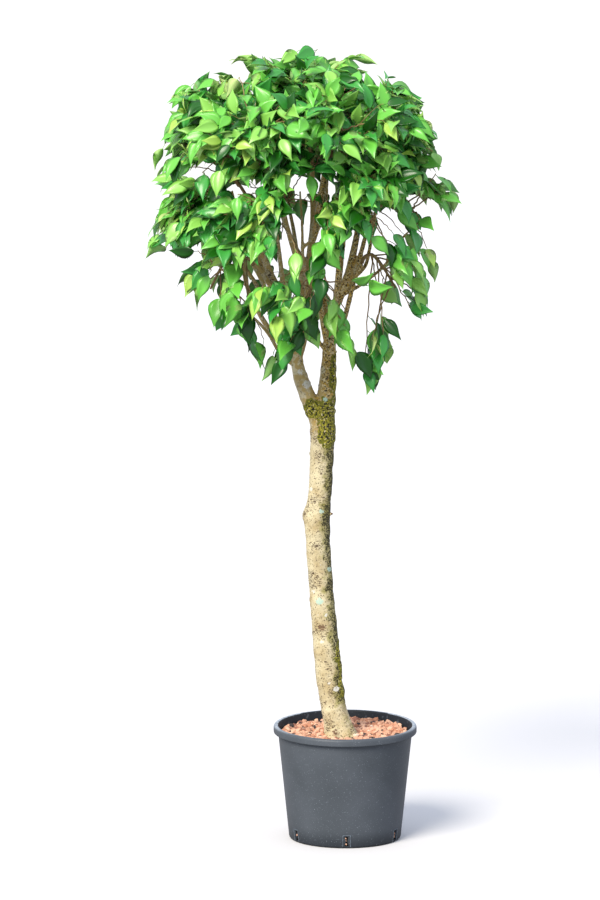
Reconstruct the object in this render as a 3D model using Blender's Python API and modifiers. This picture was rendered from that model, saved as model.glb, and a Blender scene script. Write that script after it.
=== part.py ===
"""A weeping fig grown as a small standard tree, in a black plastic nursery pot topped with clay granules.

Run with: blender --background --python part.py

Metres, +Z up, seen from -Y. The origin is the middle of the pot's flat underside.
The pot, its filling, the trunk, three limbs and the boughs on them are one node each. So is each mass of
foliage: a short stem on a bough's tip, twigs that arch out from it to the crown's surface, and their leaves.
"""

import math

import bmesh
import bpy
import numpy as np
from mathutils import Matrix, Vector
from mathutils.bvhtree import BVHTree

GAP = 0.0003  # between solids that touch in the real plant
LEVEL_END = 0.009  # upright length where a trunk arm and the limb on it meet, so that both are cut level
UP = np.array((0.0, 0.0, 1.0))

# Nursery pot: an injection-moulded tapering tub with a turned-down lip and slots round its foot.
POT_HEIGHT = 0.3145
POT_FOOT_RADIUS = 0.156
POT_WALL_TOP_RADIUS = 0.1895
POT_LIP_RADIUS = 0.200
POT_LIP_DROP = 0.020
POT_WALL = 0.0025
POT_FLOOR = 0.003
POT_INNER_CORNER = 0.006  # where the wall meets the floor inside
POT_LIP_CORNER = 0.004  # round the lip's upper edge
POT_LIP_RUN = 0.003  # from the wall's top to the lip's flat top, and from there to its outer edge
POT_LIP_ROOT = 0.002  # how far under the lip's plate the wall starts
POT_FOOT_CORNER = ((0, 0.008), (0.002, 0.002), (0.007, 0))  # inset and height of the outer bevel's points
POT_STEPS = 36
SLOTS = 6
SLOT_WIDTH = 0.011
SLOT_WAIST = 0.004
SLOT_HEIGHT = 0.027
SLOT_BOTTOM = 0.007
SLOT_TURN = math.radians(1.0)
SLOT_REACH = 0.010  # of the cutter, to each side of the foot's radius

# Filling: growing medium under a layer of clay granules, level enough for the trunk to stand on.
FILL_LEVEL = 0.288
FILL_RISE_AT_WALL = 0.006
FILL_LEVEL_SHARE = 0.62  # of the foot's radius over which it is flat
FILL_RISE_SHARE = 0.6  # of the rise, which it has at the foot's radius
FILL_FOOT_CORNER = 0.011  # inset and height of the lower edge's bevel

# Trunk: its centreline from the filling to the fork and on into the right arm, and its half-thickness there.
TRUNK_LINE = (
    (-0.012, -0.035, FILL_LEVEL + GAP),
    (-0.021, -0.034, 0.325),
    (-0.034, -0.031, 0.380),
    (-0.048, -0.027, 0.480),
    (-0.059, -0.022, 0.614),
    (-0.070, -0.018, 0.741),
    (-0.076, -0.015, 0.839),
    (-0.078, -0.013, 0.905),
    (-0.070, -0.010, 0.979),
    (-0.066, -0.007, 1.077),
    (-0.063, -0.004, 1.150),
    (-0.056, -0.002, 1.220),
    (-0.049, 0.000, 1.290),
)
TRUNK_RADII = (
    0.041, 0.0365, 0.0355, 0.0365, 0.0345, 0.0335, 0.0340, 0.0350, 0.0325, 0.0330, 0.0340, 0.0265, 0.0225
)
TRUNK_SIDES = 14
FLARE_RINGS = (0, 0.010, 0.022, 0.040, 0.065)  # heights over the filling where the skin has a ring
STEM_RINGS = (0.40, 0.86, 7)  # lowest, highest and how many
KNUCKLE_RINGS = (0.885, 0.912, 0.940)
FORK_RINGS = (0.99, 8)  # lowest and how many, up to the arm's end
FLARE_ROOTS = ((-2.30, 0.010), (-0.35, 0.020), (1.60, 0.009))  # heading in radians, and how far it stands out
FLARE_HEIGHT = 0.034  # over which the flare shrinks to a third
FLARE_SHARPNESS = 2.6
KNUCKLE_HEIGHT = 0.912  # the healed stub of a pruned branch, on the left
KNUCKLE_SIZE = 0.007
KNUCKLE_SPREAD = 0.020
KNUCKLE_SHARPNESS = 3
KNUCKLE_HEADING = math.pi
LEFT_ARM_LINE = (
    (-0.062, -0.004, 1.130), (-0.079, -0.003, 1.185), (-0.100, -0.001, 1.230), (-0.119, 0.000, 1.275)
)
LEFT_ARM_RADII = (0.024, 0.026, 0.0235, 0.0205)

# Limbs: centreline, half-thickness at the foot and at the tip, and the limb it grows from (None: a trunk arm).
LIMBS = {
    "limb_left": (
        ((-0.119, 0.000, 1.275), (-0.134, 0.001, 1.330), (-0.142, 0.003, 1.383), (-0.152, 0.006, 1.438),
         (-0.172, 0.010, 1.507), (-0.204, 0.014, 1.568), (-0.232, 0.018, 1.645), (-0.262, 0.018, 1.760)),
        (0.0205, 0.0070), None,
    ),
    "limb_right": (
        ((-0.049, 0.000, 1.290), (-0.045, 0.004, 1.369), (-0.036, 0.012, 1.466), (-0.016, 0.018, 1.518),
         (0.003, 0.022, 1.560), (0.018, 0.020, 1.623), (0.033, 0.015, 1.700), (0.036, 0.010, 1.780)),
        (0.0225, 0.0065), None,
    ),
    "limb_centre": (
        ((-0.133, 0.001, 1.345), (-0.112, 0.026, 1.420), (-0.104, 0.038, 1.507), (-0.100, 0.040, 1.623),
         (-0.090, 0.034, 1.720), (-0.094, 0.024, 1.880)),
        (0.0130, 0.0075), "limb_left",
    ),
}
LIMB_SIDES = 8
LIMB_POINTS = 13
LIMB_TAPER = 0.75  # under 1, a limb thins most near its foot

# Crown: a flattened dome. Its level section is round, and its upright section is squarer above than below.
CROWN_CENTRE = np.array((-0.126, 0.000, 1.735))
CROWN_RADIUS = 0.430
CROWN_UP = 0.458
CROWN_DOWN = 0.470
SQUARENESS_UP = 2.7
SQUARENESS_DOWN = 2.0

# Masses of foliage: heading and rise of each one's middle seen from the crown's, in degrees (0 is right, 90 is
# back), the limb that its bough leaves, and the height where it does (None: the mass is on the limb's tip).
MASSES = {
    "foliage_top": (120, 84, "limb_centre", None),
    "foliage_high_right": (350, 40, "limb_right", None),
    "foliage_high_back_right": (62, 40, "limb_centre", 1.655),
    "foliage_high_back_left": (128, 38, "limb_centre", 1.600),
    "foliage_high_left": (184, 36, "limb_left", None),
    "foliage_high_front_left": (238, 42, "limb_centre", 1.560),
    "foliage_high_front_right": (296, 44, "limb_centre", 1.690),
    "foliage_right": (2, 2, "limb_right", 1.515),
    "foliage_back_right": (50, 0, "limb_right", 1.470),
    "foliage_back": (98, 2, "limb_centre", 1.480),
    "foliage_back_left": (146, 0, "limb_left", 1.480),
    "foliage_left": (196, 2, "limb_left", 1.520),
    "foliage_front_left": (250, 0, "limb_left", 1.440),
    "foliage_front_right": (305, 2, "limb_right", 1.450),
    "foliage_low_right": (352, -36, "limb_right", 1.395),
    "foliage_low_back": (74, -36, "limb_right", 1.420),
    "foliage_low_back_left": (164, -38, "limb_left", 1.385),
    "foliage_low_left": (222, -36, "limb_left", 1.360),
    "foliage_low_front": (282, -38, "limb_right", 1.370),
}
MASS_MIDDLE = 0.70  # share of the crown's reach where a mass's space has its middle
MASS_HUB = 0.48  # share of the reach where its stem starts
STEM_END = 0.74  # and where its stem ends
MASS_CLEARANCE = 0.0015  # from the faces that part two masses' spaces
STEM_SIDES = 5
STEM_POINTS = 4
STEM_STRAIGHT = 0.02  # run-on from the bough before the stem bends
STEM_HANDLES = (0.04, 0.3)  # of its curve: a length at the start, and a share of the way at the end
STEM_LIFT = 0.02  # by which the second handle is raised
BOUGH_RADII = (0.0085, 0.0055)
BOUGH_SIDES = 6
BOUGH_POINTS = 6
BOUGH_LEAVES = (0.75, 0.45)  # outward and upward parts of its first direction
BOUGH_ARRIVES_LEVEL = 0.5  # share of its rise that its last direction keeps
BOUGH_ARRIVES_UP = 0.15
BOUGH_HANDLE = 0.33

# Sprays: a twig from its mass's stem to a point under the crown's surface, with leaves on its outer part.
CROWN_SEED = 11
SPRAYS = 118
SPRAY_LOWEST = -0.84  # sine of the lowest spray's rise
GOLDEN_ANGLE = math.pi * (3 - math.sqrt(5))
SPRAY_REACH = (0.74, 0.90)  # of the crown's reach
SPRAY_REACH_UP = 0.11  # added to it for an upright spray
SPRAY_ARCH = 0.16  # rise of a spray's handles over its length
SPRAY_HANDLES = (0.40, 0.18)  # how far they stand from root and tip, as shares of the way
SPRAY_ROOTS = (0.22, 0.74)  # share of the stem below the first spray, and that its sprays spread over
SPRAY_POINTS = 4
SPRAY_RADII = (0.0050, 0.0032)
TWIG_SIDES = 3
TWIG_LIMB_CLEARANCE = 0.003
TWIG_TESTS = 6  # places tested on each straight piece of a twig
TWIG_ROOT_TESTS = 4  # the first of them, which lie in its stem and aren't tested
LONG_SPRAYS = (  # tips of the few that stand out from the rest
    (-0.530, -0.020, 1.720), (0.268, -0.020, 1.816), (0.225, -0.060, 1.642), (-0.495, 0.010, 1.935),
    (0.071, -0.100, 1.405), (0.018, -0.130, 1.385), (-0.225, -0.080, 1.405), (-0.170, -0.120, 1.400),
    (-0.126, -0.020, 2.172), (-0.010, 0.020, 2.165), (-0.270, 0.010, 2.140), (0.100, 0.000, 2.110),
)

# Leaves: ovate blades that hang by their stalks, drawn larger and fewer than the real ones.
LEAF_LENGTH = 0.130
LEAF_WIDTH = 0.072
LEAF_THICKNESS = 0.0034
LEAF_WIDEST = 0.42  # share of the length
LEAF_THICKEST = 0.30
LEAF_DROOP = 0.06
LEAF_ROOT = 0.0012  # how far the root goes past the twig's centreline
LEAVES_ON_SPRAY = 6
LEAF_FROM, LEAF_TO = 0.20, 0.985  # share of the twig where the first and the last leaf stand
LEAF_ALONG = 0.70  # most cosine between a side leaf and its twig
LEAF_TRIES = 40
LEAF_OUT, LEAF_ON, LEAF_SIDEWAYS = 0.55, 0.25, 0.75  # parts of its axis: out, on its twig and off its side
LEAF_HANG, LEAF_HANG_LOW = 0.30, 0.45  # downward part of its axis, and what a leaf low on the crown has more
LEAF_STRAY = 0.22  # spread of the axis
FACE_UP = 0.45  # upward part of the direction that a face turns to
FACE_SQUARE, FACE_OUT, FACE_STRAY = 1.3, 0.5, 0.12  # how far it stays square to its twig, turns out and strays
LEAF_LIMB_CLEARANCE = 0.004
LEAF_OUTSIDE = 1.03  # how far past the crown's surface a tip may reach

COLOURS = {  # sRGB hex, roughness
    "nursery_pot": ("454B52", 0.55),
    "clay_granules": ("C07C5C", 0.95),
    "bark": ("B8A67C", 0.90),
    "foliage": ("4C9A3C", 0.45),
}


# ---------------------------------------------------------------- materials, collections, plain geometry


def remove_objects(objects):
    for obj in list(objects):
        bpy.data.objects.remove(obj, do_unlink=True)


def material(name):
    """The finish of that name, made once: a Principled BSDF of its colour and roughness."""
    hex_colour, roughness = COLOURS[name]
    made = bpy.data.materials.get(name) or bpy.data.materials.new(name)
    made.use_nodes = True
    shader = made.node_tree.nodes["Principled BSDF"]
    channels = [int(hex_colour[i:i + 2], 16) / 255 for i in (0, 2, 4)]
    linear = [c / 12.92 if c <= 0.04045 else ((c + 0.055) / 1.055) ** 2.4 for c in channels]
    shader.inputs["Base Color"].default_value = (*linear, 1)
    shader.inputs["Roughness"].default_value = roughness
    shader.inputs["Metallic"].default_value = 0
    made.diffuse_color = (*linear, 1)
    return made


def collection(name, helper=False):
    """A new collection. A helper holds cutters or pieces that a union takes in."""
    made = bpy.data.collections.new(name)
    made.hide_render = helper
    bpy.context.scene.collection.children.link(made)
    return made


def add_object(name, data, home, slot=None):
    made = bpy.data.objects.new(name, data)
    home.objects.link(made)
    if slot:
        data.materials.clear()
        data.materials.append(material(slot))
    return made


def unit(vector):
    return vector / np.linalg.norm(vector)


def spline(points, count):
    """count points, evenly spaced along a Catmull-Rom curve through the given ones."""
    p = np.array(points, float)
    p = np.vstack((2 * p[0] - p[1], p, 2 * p[-1] - p[-2]))
    fine = []
    for a, b, c, d in zip(p, p[1:], p[2:], p[3:]):
        t = np.linspace(0, 1, 24, endpoint=False)[:, None]
        fine.append(0.5 * (2 * b + (c - a) * t + (2 * a - 5 * b + 4 * c - d) * t**2
                           + (3 * b - a - 3 * c + d) * t**3))
    fine = np.vstack((*fine, p[-2:-1]))
    along = np.concatenate(([0], np.cumsum(np.linalg.norm(np.diff(fine, axis=0), axis=1))))
    wanted = np.linspace(0, along[-1], count)
    return np.stack([np.interp(wanted, along, fine[:, i]) for i in range(3)], axis=1)


def bezier(a, b, c, d, count):
    """count points along a cubic curve with ends a and d and handles b and c."""
    t = np.linspace(0, 1, count)[:, None]
    return (1 - t)**3 * a + 3 * (1 - t)**2 * t * b + 3 * (1 - t) * t**2 * c + t**3 * d


# ---------------------------------------------------------------- meshes from Blender's tools


def profile_curve(sides):
    """A regular polygon of radius 1, which tubes take as their section."""
    name = f"section_{sides}"
    if name in bpy.data.objects:
        return bpy.data.objects[name]
    curve = bpy.data.curves.new(name, "CURVE")
    line = curve.splines.new("POLY")
    line.points.add(sides - 1)
    for i, point in enumerate(line.points):
        angle = 2 * math.pi * i / sides
        point.co = (math.cos(angle), math.sin(angle), 0, 1)
    line.use_cyclic_u = True
    made = add_object(name, curve, bpy.data.collections["sections"])
    made.hide_render = True
    made.display_type = "WIRE"
    return made


def mesh_from(obj):
    """The object's evaluated mesh as a closed one that points outwards, in the world's axes."""
    graph = bpy.context.evaluated_depsgraph_get()
    made = bpy.data.meshes.new_from_object(obj.evaluated_get(graph))
    shape = bmesh.new()
    shape.from_mesh(made)
    bmesh.ops.transform(shape, matrix=obj.matrix_world, verts=shape.verts)
    bmesh.ops.remove_doubles(shape, verts=shape.verts, dist=1e-6)
    bmesh.ops.recalc_face_normals(shape, faces=shape.faces)
    shape.to_mesh(made)
    shape.free()
    return made


def tube(name, path, radii, sides, home, slot=None):
    """A tapering round limb: a curve object with a radius at each point, made a mesh so that it can be cut."""
    curve = bpy.data.curves.new(name, "CURVE")
    curve.dimensions = "3D"
    curve.twist_mode = "MINIMUM"
    curve.bevel_mode = "OBJECT"
    curve.bevel_object = profile_curve(sides)
    curve.use_fill_caps = True
    line = curve.splines.new("POLY")
    line.points.add(len(path) - 1)
    for point, place, radius in zip(line.points, path, radii):
        point.co = (*place, 1)
        point.radius = radius
    guide = add_object(name + "_line", curve, home)
    bpy.context.view_layer.update()
    made = mesh_from(guide)
    bpy.data.objects.remove(guide)
    bpy.data.curves.remove(curve)
    return add_object(name, made, home, slot)


def boolean(obj, operation, other=None, group=None):
    """Cuts obj by another object, or joins it with a whole collection, and applies the result."""
    modifier = obj.modifiers.new(operation.lower(), "BOOLEAN")
    modifier.operation = operation
    modifier.solver = "EXACT"
    if group:
        modifier.operand_type = "COLLECTION"
        modifier.collection = group
    else:
        modifier.object = other
    bpy.context.view_layer.update()
    graph = bpy.context.evaluated_depsgraph_get()
    made = bpy.data.meshes.new_from_object(obj.evaluated_get(graph))
    obj.modifiers.clear()
    old = obj.data
    obj.data = made
    bpy.data.meshes.remove(old)


def keep_largest(mesh):
    """Fills the hollows that a union has sealed and drops its loose scraps: only the outer skin is kept."""
    shape = bmesh.new()
    shape.from_mesh(mesh)
    shells, left = [], set(shape.verts)
    while left:
        shell, edge = set(), [left.pop()]
        while edge:
            vert = edge.pop()
            shell.add(vert)
            near = {e.other_vert(vert) for e in vert.link_edges} & left
            left -= near
            edge.extend(near)
        shells.append(shell)
    keep = max(shells, key=len)
    bmesh.ops.delete(shape, geom=[v for v in shape.verts if v not in keep], context="VERTS")
    shape.to_mesh(mesh)
    shape.free()


def turned(name, profile, home, slot):
    """A turned solid: a profile of (radius, height) points carried round +Z by a Screw modifier."""
    mesh = bpy.data.meshes.new(name)
    edges = [(i, i + 1) for i in range(len(profile) - 1)]
    mesh.from_pydata([(r, 0, z) for r, z in profile], edges, [])
    made = add_object(name, mesh, home, slot)
    screw = made.modifiers.new("turned", "SCREW")
    screw.steps = screw.render_steps = POT_STEPS
    screw.use_merge_vertices = True
    screw.merge_threshold = 0.0001
    screw.use_smooth_shade = True
    bpy.context.view_layer.update()
    made.data = mesh_from(made)
    made.modifiers.clear()
    made.data.materials.append(material(slot))
    return made


# ---------------------------------------------------------------- pot and filling


def wall_radius(height):
    """The outside of the pot's wall, which widens evenly from foot to lip."""
    return POT_FOOT_RADIUS + (POT_WALL_TOP_RADIUS - POT_FOOT_RADIUS) * height / POT_HEIGHT


def build_pot(home):
    """The tub's wall, floor and lip in one turned piece, with the slots cut through its foot."""
    lip_bottom = POT_HEIGHT - POT_LIP_DROP
    lip_corner = POT_HEIGHT - POT_LIP_CORNER
    under_lip = POT_HEIGHT - POT_WALL
    wall_top = wall_radius(POT_HEIGHT)
    inner_foot = wall_radius(POT_FLOOR + POT_INNER_CORNER) - POT_WALL
    (_, foot_top), (foot_inset, foot_middle), (foot_run, _) = POT_FOOT_CORNER
    profile = (
        (0, POT_FLOOR),
        (inner_foot - POT_INNER_CORNER, POT_FLOOR),
        (inner_foot, POT_FLOOR + POT_INNER_CORNER),
        (wall_radius(lip_corner) - POT_WALL, lip_corner),
        (wall_top - 0.0005, POT_HEIGHT - 0.001),
        (wall_top + POT_LIP_RUN, POT_HEIGHT),
        (POT_LIP_RADIUS - POT_LIP_RUN, POT_HEIGHT),
        (POT_LIP_RADIUS, lip_corner),
        (POT_LIP_RADIUS, lip_bottom),
        (POT_LIP_RADIUS - POT_WALL, lip_bottom),
        (POT_LIP_RADIUS - POT_WALL, under_lip - POT_LIP_ROOT),
        (wall_radius(under_lip), under_lip - POT_LIP_ROOT),
        (wall_radius(foot_top), foot_top),
        (POT_FOOT_RADIUS - foot_inset, foot_middle),
        (POT_FOOT_RADIUS - foot_run, 0),
        (0, 0),
    )
    pot = turned("pot", profile, home, "nursery_pot")
    cutters = collection("slot_cutters", helper=True)
    for i in range(SLOTS):
        boolean(pot, "DIFFERENCE", slot_cutter(i, cutters))
    remove_objects(cutters.objects)


def slot_cutter(index, home):
    """An hourglass-shaped bar that goes through the wall at the foot: a flat outline with a thickness."""
    half, waist, middle = SLOT_WIDTH / 2, SLOT_WAIST / 2, SLOT_HEIGHT / 2
    outline = (
        (-half, 0), (half, 0), (waist, middle), (half, SLOT_HEIGHT), (-half, SLOT_HEIGHT), (-waist, middle)
    )
    curve = bpy.data.curves.new("slot", "CURVE")
    curve.dimensions = "2D"
    curve.fill_mode = "BOTH"
    curve.extrude = SLOT_REACH
    line = curve.splines.new("POLY")
    line.points.add(len(outline) - 1)
    for point, (x, y) in zip(line.points, outline):
        point.co = (x, y, 0, 1)
    line.use_cyclic_u = True
    guide = add_object("slot_line", curve, home)
    heading = -math.pi / 2 + SLOT_TURN + 2 * math.pi * index / SLOTS
    upright = Matrix.Rotation(math.pi / 2, 4, "X")
    facing = Matrix.Rotation(heading + math.pi / 2, 4, "Z")
    place = Matrix.Translation((
        POT_FOOT_RADIUS * math.cos(heading), POT_FOOT_RADIUS * math.sin(heading), SLOT_BOTTOM
    ))
    guide.matrix_world = place @ facing @ upright
    bpy.context.view_layer.update()
    made = add_object(f"slot_{index}", mesh_from(guide), home)
    bpy.data.objects.remove(guide)
    made.hide_render = True
    made.display_type = "WIRE"
    return made


def build_filling(home):
    """The medium and the granules on it as one turned solid, flat in the middle and higher at the wall."""
    inside = POT_WALL + GAP
    profile = (
        (0, FILL_LEVEL),
        (POT_FOOT_RADIUS * FILL_LEVEL_SHARE, FILL_LEVEL),
        (POT_FOOT_RADIUS, FILL_LEVEL + FILL_RISE_AT_WALL * FILL_RISE_SHARE),
        (wall_radius(FILL_LEVEL) - inside, FILL_LEVEL + FILL_RISE_AT_WALL),
        (wall_radius(FILL_FOOT_CORNER) - inside, FILL_FOOT_CORNER),
        (POT_FOOT_RADIUS - FILL_FOOT_CORNER, POT_FLOOR + GAP),
        (0, POT_FLOOR + GAP),
    )
    turned("clay_granules", profile, home, "clay_granules")


# ---------------------------------------------------------------- trunk, limbs and boughs


def swelling(height, turn):
    """How far the trunk's skin stands out from its round section: root flare at the foot, and the knuckle."""
    out = 0.0
    above = height - TRUNK_LINE[0][2]
    for root, size in FLARE_ROOTS:
        lobe = math.exp(FLARE_SHARPNESS * (math.cos(turn - root) - 1))
        out += size * lobe * 3 ** (-above / FLARE_HEIGHT)
    side = math.exp(KNUCKLE_SHARPNESS * (math.cos(turn - KNUCKLE_HEADING) - 1))
    out += KNUCKLE_SIZE * side * math.exp(-((height - KNUCKLE_HEIGHT) / KNUCKLE_SPREAD) ** 2)
    return out


def trunk_ring(x, y, height, radius):
    """A level ring of the trunk's skin round a point of its centreline."""
    ring = []
    for turn in np.arange(TRUNK_SIDES) * 2 * math.pi / TRUNK_SIDES:
        out = radius + swelling(height, turn)
        ring.append((x + out * math.cos(turn), y + out * math.sin(turn), height))
    return ring


def build_trunk(home):
    """The stem is a loft of unlike sections, because its root flare is lobed. The left arm is fused to it."""
    heights = [p[2] for p in TRUNK_LINE]
    line = spline(TRUNK_LINE, 60)
    fork_low, fork_count = FORK_RINGS
    z = np.concatenate((
        heights[0] + np.array(FLARE_RINGS), np.linspace(*STEM_RINGS), KNUCKLE_RINGS,
        np.linspace(fork_low, heights[-1], fork_count),
    ))
    x, y = (np.interp(z, line[:, 2], line[:, i]) for i in (0, 1))
    radii = np.interp(z, heights, TRUNK_RADII)
    shape = bmesh.new()
    verts = [[shape.verts.new(p) for p in trunk_ring(*row)] for row in zip(x, y, z, radii)]
    for low, high in zip(verts, verts[1:]):
        for i in range(TRUNK_SIDES):
            j = (i + 1) % TRUNK_SIDES
            shape.faces.new((low[i], low[j], high[j], high[i]))
    shape.faces.new(verts[0][::-1])
    shape.faces.new(verts[-1])
    bmesh.ops.recalc_face_normals(shape, faces=shape.faces)
    mesh = bpy.data.meshes.new("trunk")
    shape.to_mesh(mesh)
    shape.free()
    trunk = add_object("trunk", mesh, home, "bark")
    arms = collection("trunk_arms", helper=True)
    arm_line = spline(LEFT_ARM_LINE, 7)
    arm_line = np.vstack((arm_line[:-1], arm_line[-1] - UP * LEVEL_END, arm_line[-1]))
    arm_radii = np.interp(arm_line[:, 2], [p[2] for p in LEFT_ARM_LINE], LEFT_ARM_RADII)
    tube("left_arm", arm_line, arm_radii, LIMB_SIDES, arms)
    boolean(trunk, "UNION", group=arms)
    remove_objects(arms.objects)


class Limb:
    """A limb's centreline and half-thickness, which its solid, its cutter and the leaves' clearance share."""

    def __init__(self, name, path, radii, parent=None):
        self.name = name
        self.path = path
        self.radii = radii
        self.parent = parent

    def at_height(self, height):
        return np.array([np.interp(height, self.path[:, 2], self.path[:, i]) for i in range(3)])

    def tip_direction(self):
        return unit(self.path[-1] - self.path[-2])

    def build(self, home):
        """The limb's solid, with its foot cut to fit round its parent."""
        sides = BOUGH_SIDES if self.name.startswith("bough") else LIMB_SIDES
        solid = tube(self.name, self.path, self.radii, sides, home, "bark")
        if self.parent:
            cutters = collection("foot_cutters", helper=True)
            grown = self.parent.radii + GAP
            cutter = tube("cutter", self.parent.path, grown, LIMB_SIDES, cutters)
            boolean(solid, "DIFFERENCE", cutter)
            remove_objects(cutters.objects)
            bpy.data.collections.remove(cutters)


def plan_limbs():
    """The three limbs. One that goes on from a trunk arm starts a gap above it."""
    limbs = {}
    for name, (points, (foot, tip), parent) in LIMBS.items():
        path = spline(points, LIMB_POINTS)
        if parent is None:
            path = np.vstack((path[0] + UP * GAP, path[0] + UP * LEVEL_END, path[1:]))
        along = np.linspace(0, 1, len(path))
        radii = foot + (tip - foot) * along**LIMB_TAPER
        limbs[name] = Limb(name, path, radii, limbs.get(parent))
    return limbs


# ---------------------------------------------------------------- crown


def crown_reach(direction):
    """How far the crown's surface is from its middle along a unit direction."""
    above = direction[..., 2] > 0
    level = np.hypot(direction[..., 0], direction[..., 1]) / CROWN_RADIUS
    rise = np.abs(direction[..., 2]) / np.where(above, CROWN_UP, CROWN_DOWN)
    power = np.where(above, SQUARENESS_UP, SQUARENESS_DOWN)
    return (level**power + rise**power) ** (-1 / power)


def crown_share(points):
    """How far out each point lies: 0 at the crown's middle, 1 on its surface."""
    offset = points - CROWN_CENTRE
    far = np.linalg.norm(offset, axis=-1)
    return far / crown_reach(offset / np.maximum(far, 1e-9)[..., None])


def heading(degrees_round, degrees_up):
    """The unit direction with that heading and rise."""
    a, e = math.radians(degrees_round), math.radians(degrees_up)
    return np.array((math.cos(a) * math.cos(e), math.sin(a) * math.cos(e), math.sin(e)))


class Mass:
    """One mass of foliage: its space, its stem and the tips that its twigs reach for."""

    def __init__(self, name, round_, up, limb, height):
        self.name = name
        direction = heading(round_, up)
        reach = crown_reach(direction)
        self.middle = CROWN_CENTRE + direction * reach * MASS_MIDDLE
        hub = CROWN_CENTRE + direction * reach * MASS_HUB
        end = CROWN_CENTRE + direction * reach * STEM_END
        self.bough = limb if height is None else self.plan_bough(hub, limb, height)
        forward = self.bough.tip_direction()
        start = self.bough.path[-1] + forward * GAP
        straight = start + forward * STEM_STRAIGHT
        away = end - straight
        first, second = STEM_HANDLES
        before_end = end - away * second + UP * STEM_LIFT
        curve = bezier(straight, straight + forward * first, before_end, end, STEM_POINTS)
        self.stem = np.vstack((start, curve))
        self.tips = []

    def plan_bough(self, hub, limb, height):
        """A bough that leaves the limb outwards, turns up and points at the hub."""
        foot = limb.at_height(height)
        across = hub - foot
        length = np.linalg.norm(across)
        level = unit(np.array((across[0], across[1], 0.0)))
        leave = level * BOUGH_LEAVES[0] + UP * BOUGH_LEAVES[1]
        arrive = unit(across * (1, 1, BOUGH_ARRIVES_LEVEL) + UP * BOUGH_ARRIVES_UP * length)
        path = bezier(foot, foot + leave * length * BOUGH_HANDLE, hub - arrive * length * BOUGH_HANDLE, hub,
                      BOUGH_POINTS)
        radii = np.linspace(*BOUGH_RADII, BOUGH_POINTS)
        return Limb(self.name.replace("foliage", "bough"), path, radii, limb)

    def twigs(self):
        """A path for each tip, from the stem. The nearest tips take the stem's foot."""
        order = sorted(self.tips, key=lambda tip: np.linalg.norm(tip - self.stem[0]))
        stem = spline(self.stem, 40)
        below, over = SPRAY_ROOTS
        paths = []
        for i, tip in enumerate(order):
            root = stem[int((len(stem) - 1) * (below + over * (i + 0.5) / len(order)))]
            paths.append(spray_path(root, tip))
        return paths

    def holds(self, points, masses, margin):
        """Whether every point is inside this mass's space: nearer its middle than any other's, by a margin."""
        for other in masses:
            if other is self:
                continue
            towards = unit(other.middle - self.middle)
            face = (other.middle + self.middle) / 2
            if ((points - face) @ towards > -margin).any():
                return False
        return True


def clear_of_limbs(points, segments, clearance):
    """Whether every point is that far outside each limb segment (start, end, radius)."""
    starts, ends, radii = segments
    run = ends - starts
    offset = points[:, None, :] - starts[None]
    along = np.clip((offset * run).sum(-1) / (run * run).sum(-1), 0, 1)
    distance = np.linalg.norm(offset - along[..., None] * run, axis=-1)
    return bool((distance > radii + clearance).all())


def limb_segments(lines):
    """Every limb's centreline as (starts, ends, radii) of its straight pieces."""
    starts = np.vstack([path[:-1] for path, _ in lines])
    ends = np.vstack([path[1:] for path, _ in lines])
    radii = np.concatenate([np.maximum(r[:-1], r[1:]) for _, r in lines])
    return starts, ends, radii


def spray_tips(rng):
    """Points spread evenly over the crown by a golden-angle lattice, each pushed in by a random share."""
    k = np.arange(SPRAYS) + 0.5
    rise = 1 - k / SPRAYS * (1 - SPRAY_LOWEST)
    turn = k * GOLDEN_ANGLE
    level = np.sqrt(1 - rise**2)
    direction = np.stack((np.cos(turn) * level, np.sin(turn) * level, rise), axis=1)
    share = rng.uniform(*SPRAY_REACH, SPRAYS) + SPRAY_REACH_UP * np.maximum(rise, 0)
    return np.vstack((CROWN_CENTRE + direction * (crown_reach(direction) * share)[:, None], LONG_SPRAYS))


def spray_path(root, tip):
    """A twig that leaves its stem, arches over and hangs to its tip."""
    across = tip - root
    lift = UP * SPRAY_ARCH * np.linalg.norm(across)
    first, second = SPRAY_HANDLES
    return bezier(root, root + across * first + lift, tip - across * second + lift, tip, SPRAY_POINTS)


# ---------------------------------------------------------------- leaves


def leaf_points(root, axis, normal):
    """The leaf's five corners: root, tip, two sides and the top of its midrib."""
    side = np.cross(axis, normal)
    widest = root + axis * LEAF_LENGTH * LEAF_WIDEST
    thickest = root + axis * LEAF_LENGTH * LEAF_THICKEST
    return np.array((
        root,
        root + axis * LEAF_LENGTH - normal * LEAF_LENGTH * LEAF_DROOP,
        widest + side * LEAF_WIDTH / 2,
        widest - side * LEAF_WIDTH / 2,
        thickest + normal * LEAF_THICKNESS,
    ))


LEAF_FACES = ((0, 2, 4), (0, 4, 3), (1, 4, 2), (1, 3, 4), (0, 3, 2), (1, 2, 3))


def leaf_frame(place, tangent, side, rng):
    """The leaf's axis and its face's normal: it hangs outwards, off its own side of the twig, face out."""
    outward = unit(place - CROWN_CENTRE)
    across = unit(np.cross(tangent, outward) + 1e-9)
    hang = LEAF_HANG + LEAF_HANG_LOW * (1 - max(outward[2], 0.0))
    axis = unit(outward * LEAF_OUT + tangent * LEAF_ON - UP * hang + across * side * LEAF_SIDEWAYS
                + rng.normal(0, LEAF_STRAY, 3))
    face = outward + UP * FACE_UP
    normal = unit(np.cross(axis, tangent))
    square = math.copysign(FACE_SQUARE, normal @ face)
    normal = normal * square + face * FACE_OUT + rng.normal(0, FACE_STRAY, 3)
    normal = unit(normal - axis * (normal @ axis))
    return axis, normal


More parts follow.
